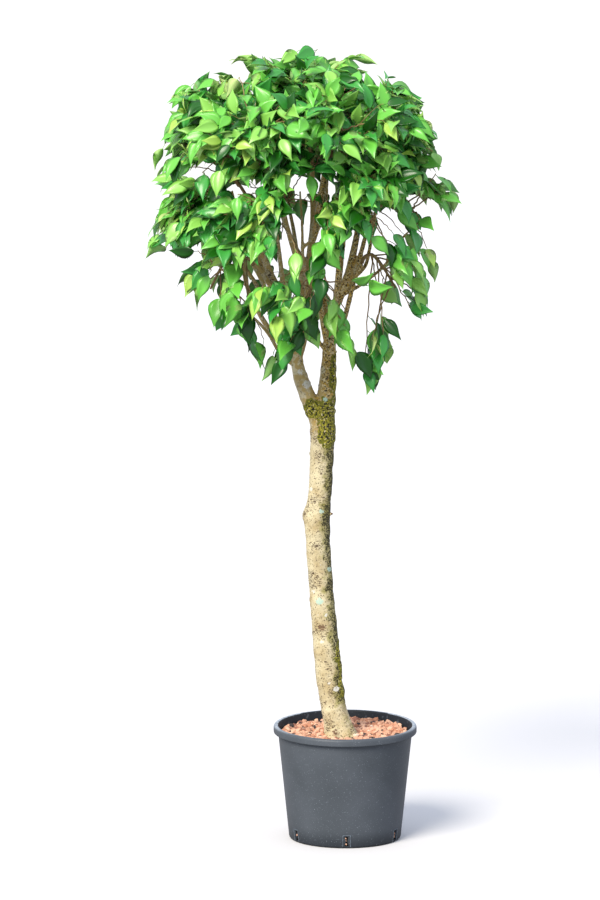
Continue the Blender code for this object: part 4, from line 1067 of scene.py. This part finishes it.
# Each colour, where it grows, its coordinates, its noise's cells to the metre (22 is 45 mm, 290 is 3.4 mm),
# its detail and limits, and the most that it covers.
bark_layers = (
    (BARK_TAN, None, where, 22, 6, (0.42, 0.70), 1.0),
    (BARK_FLECK, zones, level, 1, 3, (0.53, 0.57), 0.92),
    (BARK_FLECK, zones, where, 290, 3, (0.58, 0.62), 0.92),
    (BARK_FLECK, None, where, 250, 2, (0.595, 0.63), 0.90),
    (LICHEN_WHITE, None, where, 90, 4, (0.68, 0.72), 0.7),
    # algae and painted shade on the side away from the lamp
    (ALGAE_AND_SHADE_BLOOM, growths[0], where, 45, 4, (0.20, 0.50), 0.75),
    (ALGAE_AND_SHADE, growths[0], where, 240, 5, (0.42, 0.48), 0.95),
    (AGED_PALE, growths[2], where, 60, 2, COAT, 0.95),
    (AGED_GOLD, growths[2], where, 120, 6, (0.48, 0.53), 0.85),
    (AGED_CREAM, growths[2], where, 165, 6, (0.52, 0.57), 0.95),
    (AGED_DARK, growths[2], where, 210, 6, (0.52, 0.56), 0.95),
    (MOSS_PALE, growths[1], where, 60, 2, COAT, 1.0),
    (MOSS_GOLD, growths[1], where, 225, 6, (0.49, 0.53), 1.0),
    (AGED_CREAM, growths[1], where, 145, 6, (0.58, 0.62), 0.85),
    (MOSS_DARK, growths[1], where, 180, 6, (0.51, 0.55), 1.0),
    (LICHEN_WHITE, spot_kinds[0], where, 260, 5, RAGGED, 0.9),
    (LICHEN_AQUA, spot_kinds[1], where, 260, 5, RAGGED, 0.9),
    (SCAR_BROWN, spot_kinds[2], where, 260, 5, RAGGED, 0.9),
)
surface = linear(BARK_PALE)
for colour, grows, vector, scale, detail, limits, most in bark_layers:
    surface, _ = clouded(tree, vector, surface, colour, scale, detail, limits, most, 0.6, grows)
tree.links.new(surface, bark_shader.inputs["Base Color"])
fine = add_node(tree, "ShaderNodeTexNoise", ((0, level), ("Scale", 1.6), ("Detail", 4)))
bark_bump = add_node(
    tree, "ShaderNodeBump", (("Height", fine.outputs[0]), ("Strength", 0.6), ("Distance", 0.0018)))
tree.links.new(bark_bump.outputs[0], bark_shader.inputs["Normal"])
wood.data.materials.clear()
wood.data.materials.append(bark_skin)
wood_nodes = [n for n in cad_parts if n.startswith(("trunk", "limb", "bough"))]
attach(wood, "root")
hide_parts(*wood_nodes)

# ---------------------------------------------------------------- twigs
# Each spray is a twig that arches out and droops. Finer twigs leave it by turns on either side and hang from
# it.

TWIG_SEED = 23
TWIG_RADII = (0.0024, 0.0011)
TWIG_BARE, FINE_TWIG_BARE = 0.42, 0.12  # share of each, from its foot, that bears no leaves
FINE_TWIG_RADII = (0.0011, 0.0006)
FINE_TWIGS_HIGH, FINE_TWIGS_LOW = 7, 4  # on each spray, above and below the crown's waist
FINE_LENGTH = (0.090, 0.160)
FINE_TIP_SHORTENING = 0.40
STEM_RADII = (0.0055, 0.0030)
INNER_SEED = 57
INNER_SPRAYS = 95  # shorter sprays behind the others, in the crown's upper half
INNER_REACH = (0.56, 0.78)
INNER_LOWEST, INNER_TURN = -0.10, 1.1  # how far under the crown's middle they reach, and their first heading
INNER_ROOTS = (6, 24)  # of their stem's steps
SHOULDER_HEIGHT, SHOULDER_OUTSIDE = 1.98, 1.08  # how far out leaves may reach, high on the crown,
WAIST_HEIGHT, WAIST_OUTSIDE = 1.68, 1.02  # at its waist,
SKIRT_HEIGHT, SKIRT_OUTSIDE = 1.45, 0.96  # and under it
CROWN_TOP = 2.186
SPRAY_GENEROSITY = (0.88, 1.05)  # each spray's own share of that reach
LONG_GENEROSITY = 1.22
SHOOTS = (  # tips of the shoots that stand out of the crown's surface or hang under it
    (-0.405, -0.050, 2.095), (-0.450, -0.080, 2.030), (0.285, -0.030, 1.880), (0.310, -0.030, 1.800),
    (0.255, -0.050, 1.605), (0.262, -0.080, 1.540), (0.235, -0.060, 1.475), (0.200, -0.100, 1.430),
    (0.150, -0.100, 1.400), (0.105, -0.120, 1.335), (0.068, -0.100, 1.300), (0.050, -0.080, 1.290),
    (-0.245, -0.100, 1.355), (-0.475, -0.060, 1.545), (-0.440, -0.100, 1.490), (-0.380, -0.120, 1.425),
    (-0.280, -0.200, 1.440),
    (-0.200, -0.250, 1.470), (-0.120, -0.220, 1.430), (-0.020, -0.200, 1.430), (0.000, -0.250, 1.460),
    (0.060, -0.200, 1.500), (-0.500, -0.040, 1.640), (-0.300, -0.270, 1.520),
    (-0.220, -0.300, 1.560), (-0.160, -0.280, 1.500), (-0.100, -0.300, 1.520), (0.020, -0.300, 1.550),
    (-0.260, -0.220, 1.400), (-0.360, -0.100, 2.070), (-0.080, -0.060, 2.170),
)
SHOOT_ROOTS = (0.2, 0.9)  # shares of the way along its mass's stem between which a shoot leaves
TWIG_INSIDE = 0.09  # how much less far the twigs reach
TWIG_STEPS, FINE_TWIG_STEPS = 16, 9
TWIG_WOBBLE = 0.0014
LEAF_HANG = 0.035  # how far under its twig a leaf is looked for in the gaps
FULL_ABOVE, THINNEST_AT, THINNEST = 1.62, 1.36, 0.70  # heights between which twigs thin out, and what is left
SKY_WINDOWS = (  # gaps right through the crown, seen from the front: middle and half-size, across and up
    ((0.123, 1.712), (0.042, 0.044)), ((0.035, 1.629), (0.034, 0.064)), ((0.081, 1.619), (0.034, 0.038)),
    ((0.078, 1.489), (0.038, 0.042)), ((0.005, 1.521), (0.032, 0.052)), ((-0.006, 1.494), (0.020, 0.026)),
    ((0.046, 1.455), (0.030, 0.036)), ((-0.225, 1.411), (0.032, 0.040)), ((0.040, 1.405), (0.030, 0.036)),
    ((-0.150, 1.680), (0.044, 0.055)), ((-0.081, 1.698), (0.020, 0.030)), ((-0.106, 1.643), (0.017, 0.026)),
    ((0.199, 1.766), (0.028, 0.034)), ((-0.129, 1.816), (0.026, 0.034)), ((-0.042, 1.806), (0.020, 0.023)),
    ((-0.304, 1.808), (0.022, 0.024)), ((-0.253, 1.805), (0.018, 0.020)), ((-0.382, 1.865), (0.030, 0.028)),
    ((-0.427, 1.850), (0.022, 0.022)), ((0.236, 1.847), (0.022, 0.020)), ((-0.413, 1.627), (0.025, 0.022)),
    ((-0.050, 1.570), (0.016, 0.024)), ((-0.368, 1.522), (0.022, 0.019)), ((0.112, 1.465), (0.026, 0.026)),
    ((-0.116, 1.422), (0.015, 0.020)), ((-0.296, 2.137), (0.025, 0.026)), ((-0.032, 2.172), (0.022, 0.012)),
    ((0.075, 2.127), (0.018, 0.014)), ((-0.066, 1.300), (0.055, 0.060)), ((0.250, 1.660), (0.050, 0.018)),
    ((-0.030, 1.325), (0.045, 0.050)), ((-0.135, 1.305), (0.035, 0.045)), ((-0.345, 1.395), (0.022, 0.022)),
)
CROWN_EDGES = np.array((  # height, and how far leaves may show to the left and to the right there
    (1.230, -0.150, 0.080), (1.286, -0.250, 0.115), (1.310, -0.259, 0.130), (1.369, -0.262, 0.156),
    (1.396, -0.380, 0.165), (1.424, -0.390, 0.195), (1.451, -0.432, 0.247), (1.480, -0.435, 0.250),
    (1.510, -0.490, 0.250), (1.562, -0.482, 0.269), (1.590, -0.476, 0.277), (1.620, -0.478, 0.268),
    (1.645, -0.574, 0.215), (1.673, -0.575, 0.215), (1.700, -0.557, 0.298), (1.728, -0.530, 0.316),
    (1.783, -0.500, 0.323), (1.810, -0.532, 0.316), (1.837, -0.554, 0.287), (1.865, -0.554, 0.281),
    (1.892, -0.502, 0.279), (1.920, -0.500, 0.286), (1.947, -0.545, 0.281), (1.975, -0.521, 0.237),
    (2.002, -0.492, 0.230), (2.057, -0.496, 0.233), (2.084, -0.496, 0.213), (2.111, -0.440, 0.155),
    (2.139, -0.412, 0.118), (2.166, -0.358, 0.114), (2.193, -0.308, 0.030),
))


def seen_from_front(points):
    """Where each point shows from the camera's place: across and up on the plane through the stem."""
    eye = np.array(CAMERA_PLACE)
    scale = -eye[1] / (points[:, 1] - eye[1])
    flat = eye + (points - eye) * scale[:, None]
    return flat[:, (0, 2)]


def in_a_window(points):
    """Whether each point shows in one of the crown's gaps."""
    flat = seen_from_front(points)
    found = np.zeros(len(points), bool)
    for middle, half in SKY_WINDOWS:
        found |= (((flat - middle) / half) ** 2).sum(axis=1) < 1
    return found


def between_edges(points, margin):
    """Whether each point shows inside the crown's outline by at least the margin."""
    flat = seen_from_front(points)
    left, right = [np.interp(flat[:, 1], CROWN_EDGES[:, 0], CROWN_EDGES[:, side]) for side in (1, 2)]
    return (flat[:, 0] > left + margin) & (flat[:, 0] < right - margin)


def reach_limit(heights):
    """How far out, as a share of the crown's reach, leaves may come at each height."""
    return np.interp(heights, (SKIRT_HEIGHT, WAIST_HEIGHT, SHOULDER_HEIGHT),
                     (SKIRT_OUTSIDE, WAIST_OUTSIDE, SHOULDER_OUTSIDE))


inner = np.random.default_rng(INNER_SEED)
direction, _ = lattice(INNER_SPRAYS, INNER_LOWEST, INNER_TURN)
inner_reach = crown_reach(direction) * inner.uniform(*INNER_REACH, INNER_SPRAYS)
inner_tips = CROWN_CENTRE + direction * inner_reach[:, None]
inner_sprays = [spray_path(spline(stems[mass], STEM_STEPS)[inner.integers(*INNER_ROOTS)], tip)
                for mass, tip in zip(nearest_mass(inner_tips), inner_tips)]
shoots = []
for mass, tip in zip(nearest_mass(np.array(SHOOTS)), SHOOTS):
    foot = spline(stems[mass], STEM_STEPS)[int((STEM_STEPS - 1) * inner.uniform(*SHOOT_ROOTS))]
    shoots.append(spray_path(foot, np.array(tip)))

rng = np.random.default_rng(TWIG_SEED)
# Every path that bears leaves: its line, the share of it that is bare, its spray's generosity, its radii, and
# for a fine twig the number of the twig that it leaves and the share of the way along.
leafy = []
long_tips = np.array(LONG_SPRAYS + SHOOTS)
for path in sprays + inner_sprays + shoots:
    line = spline(path, TWIG_STEPS)
    line[1:-1] += rng.normal(0, TWIG_WOBBLE, (TWIG_STEPS - 2, 3))
    generosity = rng.uniform(*SPRAY_GENEROSITY)
    if np.linalg.norm(long_tips - path[-1], axis=1).min() < 0.001:
        generosity = LONG_GENEROSITY
    twig = len(leafy)
    leafy.append((line, TWIG_BARE, generosity, TWIG_RADII, twig, 0.0))
    fine_twigs = FINE_TWIGS_HIGH if path[-1][2] > CROWN_CENTRE[2] - 0.05 else FINE_TWIGS_LOW
    for order in range(fine_twigs):
        share = 0.34 + 0.62 * (order + rng.uniform(0.2, 0.8)) / fine_twigs
        i = int(share * (TWIG_STEPS - 1))
        root = line[i]
        tangent = unit(line[min(i + 1, TWIG_STEPS - 1)] - line[i - 1])
        outward = unit(root - CROWN_CENTRE)
        across = unit(np.cross(tangent, outward) + 1e-6) * (1 if order % 2 else -1)
        start = unit(tangent * 0.55 + across * rng.uniform(0.6, 1.0) + UP * rng.uniform(0.0, 0.35)
                     + outward * 0.30 + rng.normal(0, 0.16, 3))
        span = rng.uniform(*FINE_LENGTH) * (1 - FINE_TIP_SHORTENING * share)
        fall = 0.10 + 0.5 * (1 - max(outward[2], 0.0))
        end = root + start * span * 0.80 + outward * span * 0.15 - UP * span * fall
        fine = bezier(root, root + start * span * 0.4, end + UP * span * fall * 0.35, end, FINE_TWIG_STEPS)
        inside = crown_share(end[None])[0] < reach_limit(end[2]) * generosity - TWIG_INSIDE
        inside &= between_edges(end[None], 0.02)[0]
        thinned = rng.random() > np.interp(end[2], (THINNEST_AT, FULL_ABOVE), (THINNEST, 1.0))
        leafed = np.vstack((fine[2::2], fine[4::2] - UP * LEAF_HANG))
        if inside and not thinned and not in_a_window(leafed).any():
            leafy.append((fine, FINE_TWIG_BARE, generosity, FINE_TWIG_RADII, twig, share))

# ---------------------------------------------------------------- leaves
# Weeping-fig leaves: leathery, glossy, ovate with a long drip tip, on short stalks by turns along the twigs.
# They hang with their faces out, so that each row half covers the next, and new growth at the tips is lime.

LEAF_SEED = 41
LEAF_SPACING = 0.0185
LEAF_LENGTH = (0.074, 0.100)
LEAF_SLENDERNESS = (0.44, 0.58)  # width over the blade's length
STALK = 0.14  # share of the leaf that is stalk
LOW_LEAVES_LARGER = 1.14  # how much larger the shaded leaves grow, low on the crown
# The inner and low leaves' darker kinds are painted shade as well as older leaves; the outer ones are brighter.
LEAF_KINDS = (  # name, colours of face and underside, gloss, and shares of the inner and the outer leaves
    ("deep", "18560D", "376C22", 0.45, 0.46, 0.05),
    ("cool", "3A9439", "64A256", 0.50, 0.26, 0.23),
    ("mature", "66B843", "82B65A", 0.50, 0.21, 0.43),
    ("bright", "86C454", "9ECB74", 0.50, 0.07, 0.29),
    ("new", "A0CA56", "B4D080", 0.50, 0.0, 0.0),
)
OUTSIDE_FROM, OUTSIDE_BY = 0.60, 0.90  # shares of the reach between which one passes into the other
LOW_INSIDE = (1.28, 1.50)  # heights between which the low leaves lose the shade
NEW_TIPS = 0.22  # share of the outer twigs whose last leaves are new
BLADE_ALONG = np.array((0.0, 0.03, 0.09, 0.19, 0.32, 0.46, 0.60, 0.72, 0.82, 0.90, 0.96, 1.0))
BLADE_ACROSS = np.array((-1.0, -0.5, 0.0, 0.5, 1.0))
STALK_HALF = 0.0008
BLADE_THICKNESS, STALK_THICKER = 0.0005, 0.0009
FOLD, WAVE, BOW, CURL = (0.12, 0.52), (0.0, 0.16), (0.03, 0.30), (0.0, 0.12)  # of the blade, for its size
TWIST = 0.30
HANG, HANG_SPREAD = (0.12, 0.50), 0.18  # how far a leaf at the top falls, and how much more one lower down
AXIS_SPREAD, FACE_SPREAD = 0.26, 0.42
NEW_LEAF_SIZE = 0.85
LIMB_GAP = 0.012  # between a leaf's middle and the wood


def leaf_sites():
    """Root, twig direction, side, colour kind, whether it ends its twig, its spray's generosity, and its
    path's number and its place along it, for every leaf: one every spacing along each leafy path, on sides
    by turns."""
    rows = []
    for path, (line, bare, generosity, _, _, _) in enumerate(leafy):
        length = np.linalg.norm(np.diff(line, axis=0), axis=1).sum()
        count = max(2, int(length * (1 - bare) / LEAF_SPACING))
        spots = bare + (1 - bare) * (np.arange(count) + 1) / count * 0.995
        # Painted shade, with older leaves: inner and low twigs take the darker kinds more often, outer ones the
        # brighter.
        outside = np.clip((crown_share(line[-1:])[0] - OUTSIDE_FROM) / (OUTSIDE_BY - OUTSIDE_FROM), 0, 1)
        outside *= np.interp(line[-1, 2], LOW_INSIDE, (0.3, 1.0))
        shares = [(1 - outside) * kind[4] + outside * kind[5] for kind in LEAF_KINDS]
        tender = rng.random() < NEW_TIPS * outside
        for number, spot in enumerate(spots):
            where = spot * (len(line) - 1)
            i = min(int(where), len(line) - 2)
            root = line[i] + (line[i + 1] - line[i]) * (where - i)
            side = 1.0 if number % 2 else -1.0
            ripe = rng.choice(len(LEAF_KINDS), p=shares)
            kind = len(LEAF_KINDS) - 1 if tender and number >= count - 2 else ripe
            tangent = unit(line[i + 1] - line[i])
            rows.append((root, tangent, side, kind, number == count - 1, generosity, path, spot))
    return [np.array(column) for column in zip(*rows)]


def leaf_frames(roots, tangents, sides, ends):
    """Each leaf's axis and face normal. The axis leans out, off its own side of the twig, and falls with
    gravity, more so low on the crown. The normal is as near as it can be to outwards and up, and those at
    the crown's sides turn to its front or back."""
    count = len(roots)
    outward = unit(roots - CROWN_CENTRE)
    across = unit(np.cross(tangents, outward) + 1e-6)
    hang = HANG[0] + HANG[1] * (1 - np.maximum(outward[:, 2], 0)) + rng.normal(0, HANG_SPREAD, count)
    lean = outward * (1, 1, 0.35)
    axis = lean * 0.72 + tangents * 0.25 - UP * hang[:, None] + across * (sides * 0.60 * ~ends)[:, None]
    axis = unit(axis + rng.normal(0, AXIS_SPREAD, (count, 3)))
    seen = np.tanh(outward[:, 1] * 5)[:, None] * (0, 0.55, 0)
    face = outward * (0.7, 0.7, 0.4) + seen + UP * 0.45 + rng.normal(0, FACE_SPREAD, (count, 3))
    normal = unit(face - axis * (face * axis).sum(1, keepdims=True))
    return axis, normal


def blades(roots, axis, normal, length):
    """Points and faces of every leaf: a stalk, then a grid along and across the blade. Its half-width is
    u^0.6 (1 - u^2)^2.1 of the way u from base to tip, which draws it out to a drip tip. Its halves rise from
    the midrib, its edges wave, and it bends down as u^2, more at the tip."""
    count = len(roots)
    stalk = length * STALK
    blade = length - stalk
    half_width = blade * rng.uniform(*LEAF_SLENDERNESS, count) / 2
    side = np.cross(axis, normal)
    u = BLADE_ALONG
    shape = u**0.6 * (1 - u**2)**2.1
    half = half_width[:, None] * shape / shape.max() + STALK_HALF * (u < 0.95)
    half = np.concatenate((np.full((count, 1), STALK_HALF), half), axis=1)
    fold = rng.uniform(*FOLD, count)[:, None, None]
    wave = rng.uniform(*WAVE, count)[:, None, None]
    phase = rng.uniform(0, 2 * math.pi, count)[:, None, None]
    bow = rng.uniform(*BOW, count)[:, None]
    curl = rng.uniform(*CURL, count)[:, None]
    twist = rng.normal(0, TWIST, count)[:, None]
    u = np.concatenate(((0.0,), u))
    v = BLADE_ACROSS
    rise = half[..., None] * (fold * (1.3 * np.abs(v) - 0.3 * v**2)
                              + wave * np.sin(phase + 8 * u[:, None] + 1.4 * v) * np.abs(v))
    across = half[..., None] * v
    drop = -blade[:, None] * (bow * u**2 + curl * smooth_step(u, 0.7, 1.0))
    starts = np.concatenate(((0.0,), np.ones(len(u) - 1)))
    along = stalk[:, None] * starts + blade[:, None] * u * (1 - 0.3 * bow * u)
    roll = (twist * u)[..., None]
    sideways = across * np.cos(roll) - rise * np.sin(roll)
    upwards = across * np.sin(roll) + rise * np.cos(roll) + drop[..., None]
    upper = (roots[:, None, None] + axis[:, None, None] * along[..., None, None]
             + side[:, None, None] * sideways[..., None] + normal[:, None, None] * upwards[..., None])
    thick = BLADE_THICKNESS + STALK_THICKER * (u < 0.01)
    under = upper[:, :, 2] - normal[:, None] * thick[:, None]
    verts = np.concatenate((upper, under[:, :, None]), axis=2).reshape(-1, 3)
    rows, columns, stride = len(u), len(v), len(v) + 1
    faces, paint = [], []
    for row in range(rows - 1):
        a, b = row * stride, (row + 1) * stride
        faces += [(a + c, a + c + 1, b + c + 1, b + c) for c in range(columns - 1)]
        faces += [(a, b, b + columns, a + columns),
                  (a + columns, b + columns, b + columns - 1, a + columns - 1)]
        paint += [0] * (columns - 1) + [1, 1]
    last = (rows - 1) * stride
    faces += [(c, columns, c + 1, c + 1) for c in range(columns - 1)]
    faces += [(last + c, last + c + 1, last + columns, last + columns) for c in range(columns - 1)]
    paint += [0] * (2 * (columns - 1))
    all_faces = np.array(faces)[None] + (np.arange(count) * rows * stride)[:, None, None]
    return verts, all_faces.reshape(-1, 4), np.tile(paint, count)


rng = np.random.default_rng(LEAF_SEED)
roots, tangents, sides, kinds, ends, generosities, paths, places = leaf_sites()
axis, normal = leaf_frames(roots, tangents, sides, ends)
length = rng.uniform(*LEAF_LENGTH, len(roots)) * np.where(kinds == len(LEAF_KINDS) - 1, NEW_LEAF_SIZE, 1.0)
length *= np.interp(roots[:, 2], (1.40, 1.90), (LOW_LEAVES_LARGER, 1.0))
tips = roots + axis * length[:, None]
keep = (crown_share(tips) < reach_limit(tips[:, 2]) * generosities) & (tips[:, 2] < CROWN_TOP)
keep &= between_edges(tips, 0.0)
for share in (0.35, 0.65, 0.95):
    keep &= ~in_a_window(roots + (tips - roots) * share)
centres = roots + (tips - roots) * 0.6
limb_points = np.vstack([line for line, _ in wood_lines])
limb_radii = np.concatenate([radii for _, radii in wood_lines])
for start in range(0, len(centres), 2000):
    block = slice(start, start + 2000)
    gap = np.linalg.norm(centres[block][:, None] - limb_points[None], axis=2) - limb_radii
    keep[block] &= gap.min(axis=1) > LIMB_GAP

# Leathery blades with a waxy face: green by age, darker inside the crown and low down as painted shade, with a
# paler matt underside.
foliage_nodes = [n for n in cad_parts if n.startswith("foliage")]
for number, (kind, face, under, gloss, _, _) in enumerate(LEAF_KINDS):
    chosen = keep & (kinds == number)
    waxy, waxy_shader = new_material(f"waxy_face_{kind}")
    set_shader(waxy_shader, face, 0.30, Specular_IOR_Level=gloss)
    matt, matt_shader = new_material(f"matt_underside_{kind}")
    set_shader(matt_shader, under, 0.6)
    verts, faces, paint = blades(roots[chosen], axis[chosen], normal[chosen], length[chosen])
    leaves = mesh_object(f"leaves_{kind}", verts, faces, (waxy, matt), paint)
    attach(leaves, "root")
    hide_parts(*foliage_nodes)

# ---------------------------------------------------------------- young wood
# The stems that carry the masses of foliage, and the twigs that bear its leaves: a year or two old, thin and
# tan. Each ends at its last leaf.

STEM_SIDES, TWIG_SIDES, FINE_TWIG_SIDES = 8, 6, 4
TWIG_COLOURS = ("7A603A", "A08A5C")
MOTTLES = 60  # to the metre: 17 mm across

last_leaf = np.zeros(len(leafy))
np.maximum.at(last_leaf, paths[keep], places[keep])
for number, (*_, twig, share) in enumerate(leafy):
    if last_leaf[number] > 0:
        last_leaf[twig] = max(last_leaf[twig], share)
twig_parts = [tube(spline(stem, TWIG_STEPS), np.linspace(*STEM_RADII, TWIG_STEPS), STEM_SIDES)
              for stem in stems]
for (line, bare, _, radii, _, _), end in zip(leafy, last_leaf):
    if end == 0:
        continue
    count = max(3, math.ceil(end * (len(line) - 1)) + 1)
    facets = TWIG_SIDES if bare == TWIG_BARE else FINE_TWIG_SIDES
    twig_parts.append(tube(line[:count], np.linspace(*radii, len(line))[:count], facets))
twig_verts, twig_faces = joined(twig_parts)
twigs = mesh_object("twigs", twig_verts, twig_faces)

# Young fig bark: thin, tan to grey-brown, a little shiny.
twig_bark, twig_shader = new_material("young_bark")
set_shader(twig_shader, TWIG_COLOURS[0], 0.7)
tree = twig_bark.node_tree
place = add_node(tree, "ShaderNodeTexCoord").outputs["Object"]
mottled, _ = clouded(tree, place, linear(TWIG_COLOURS[0]), TWIG_COLOURS[1], MOTTLES, 3, (0.4, 0.65))
tree.links.new(mottled, twig_shader.inputs["Base Color"])
twigs.data.materials.append(twig_bark)
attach(twigs, "root")
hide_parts(*foliage_nodes)
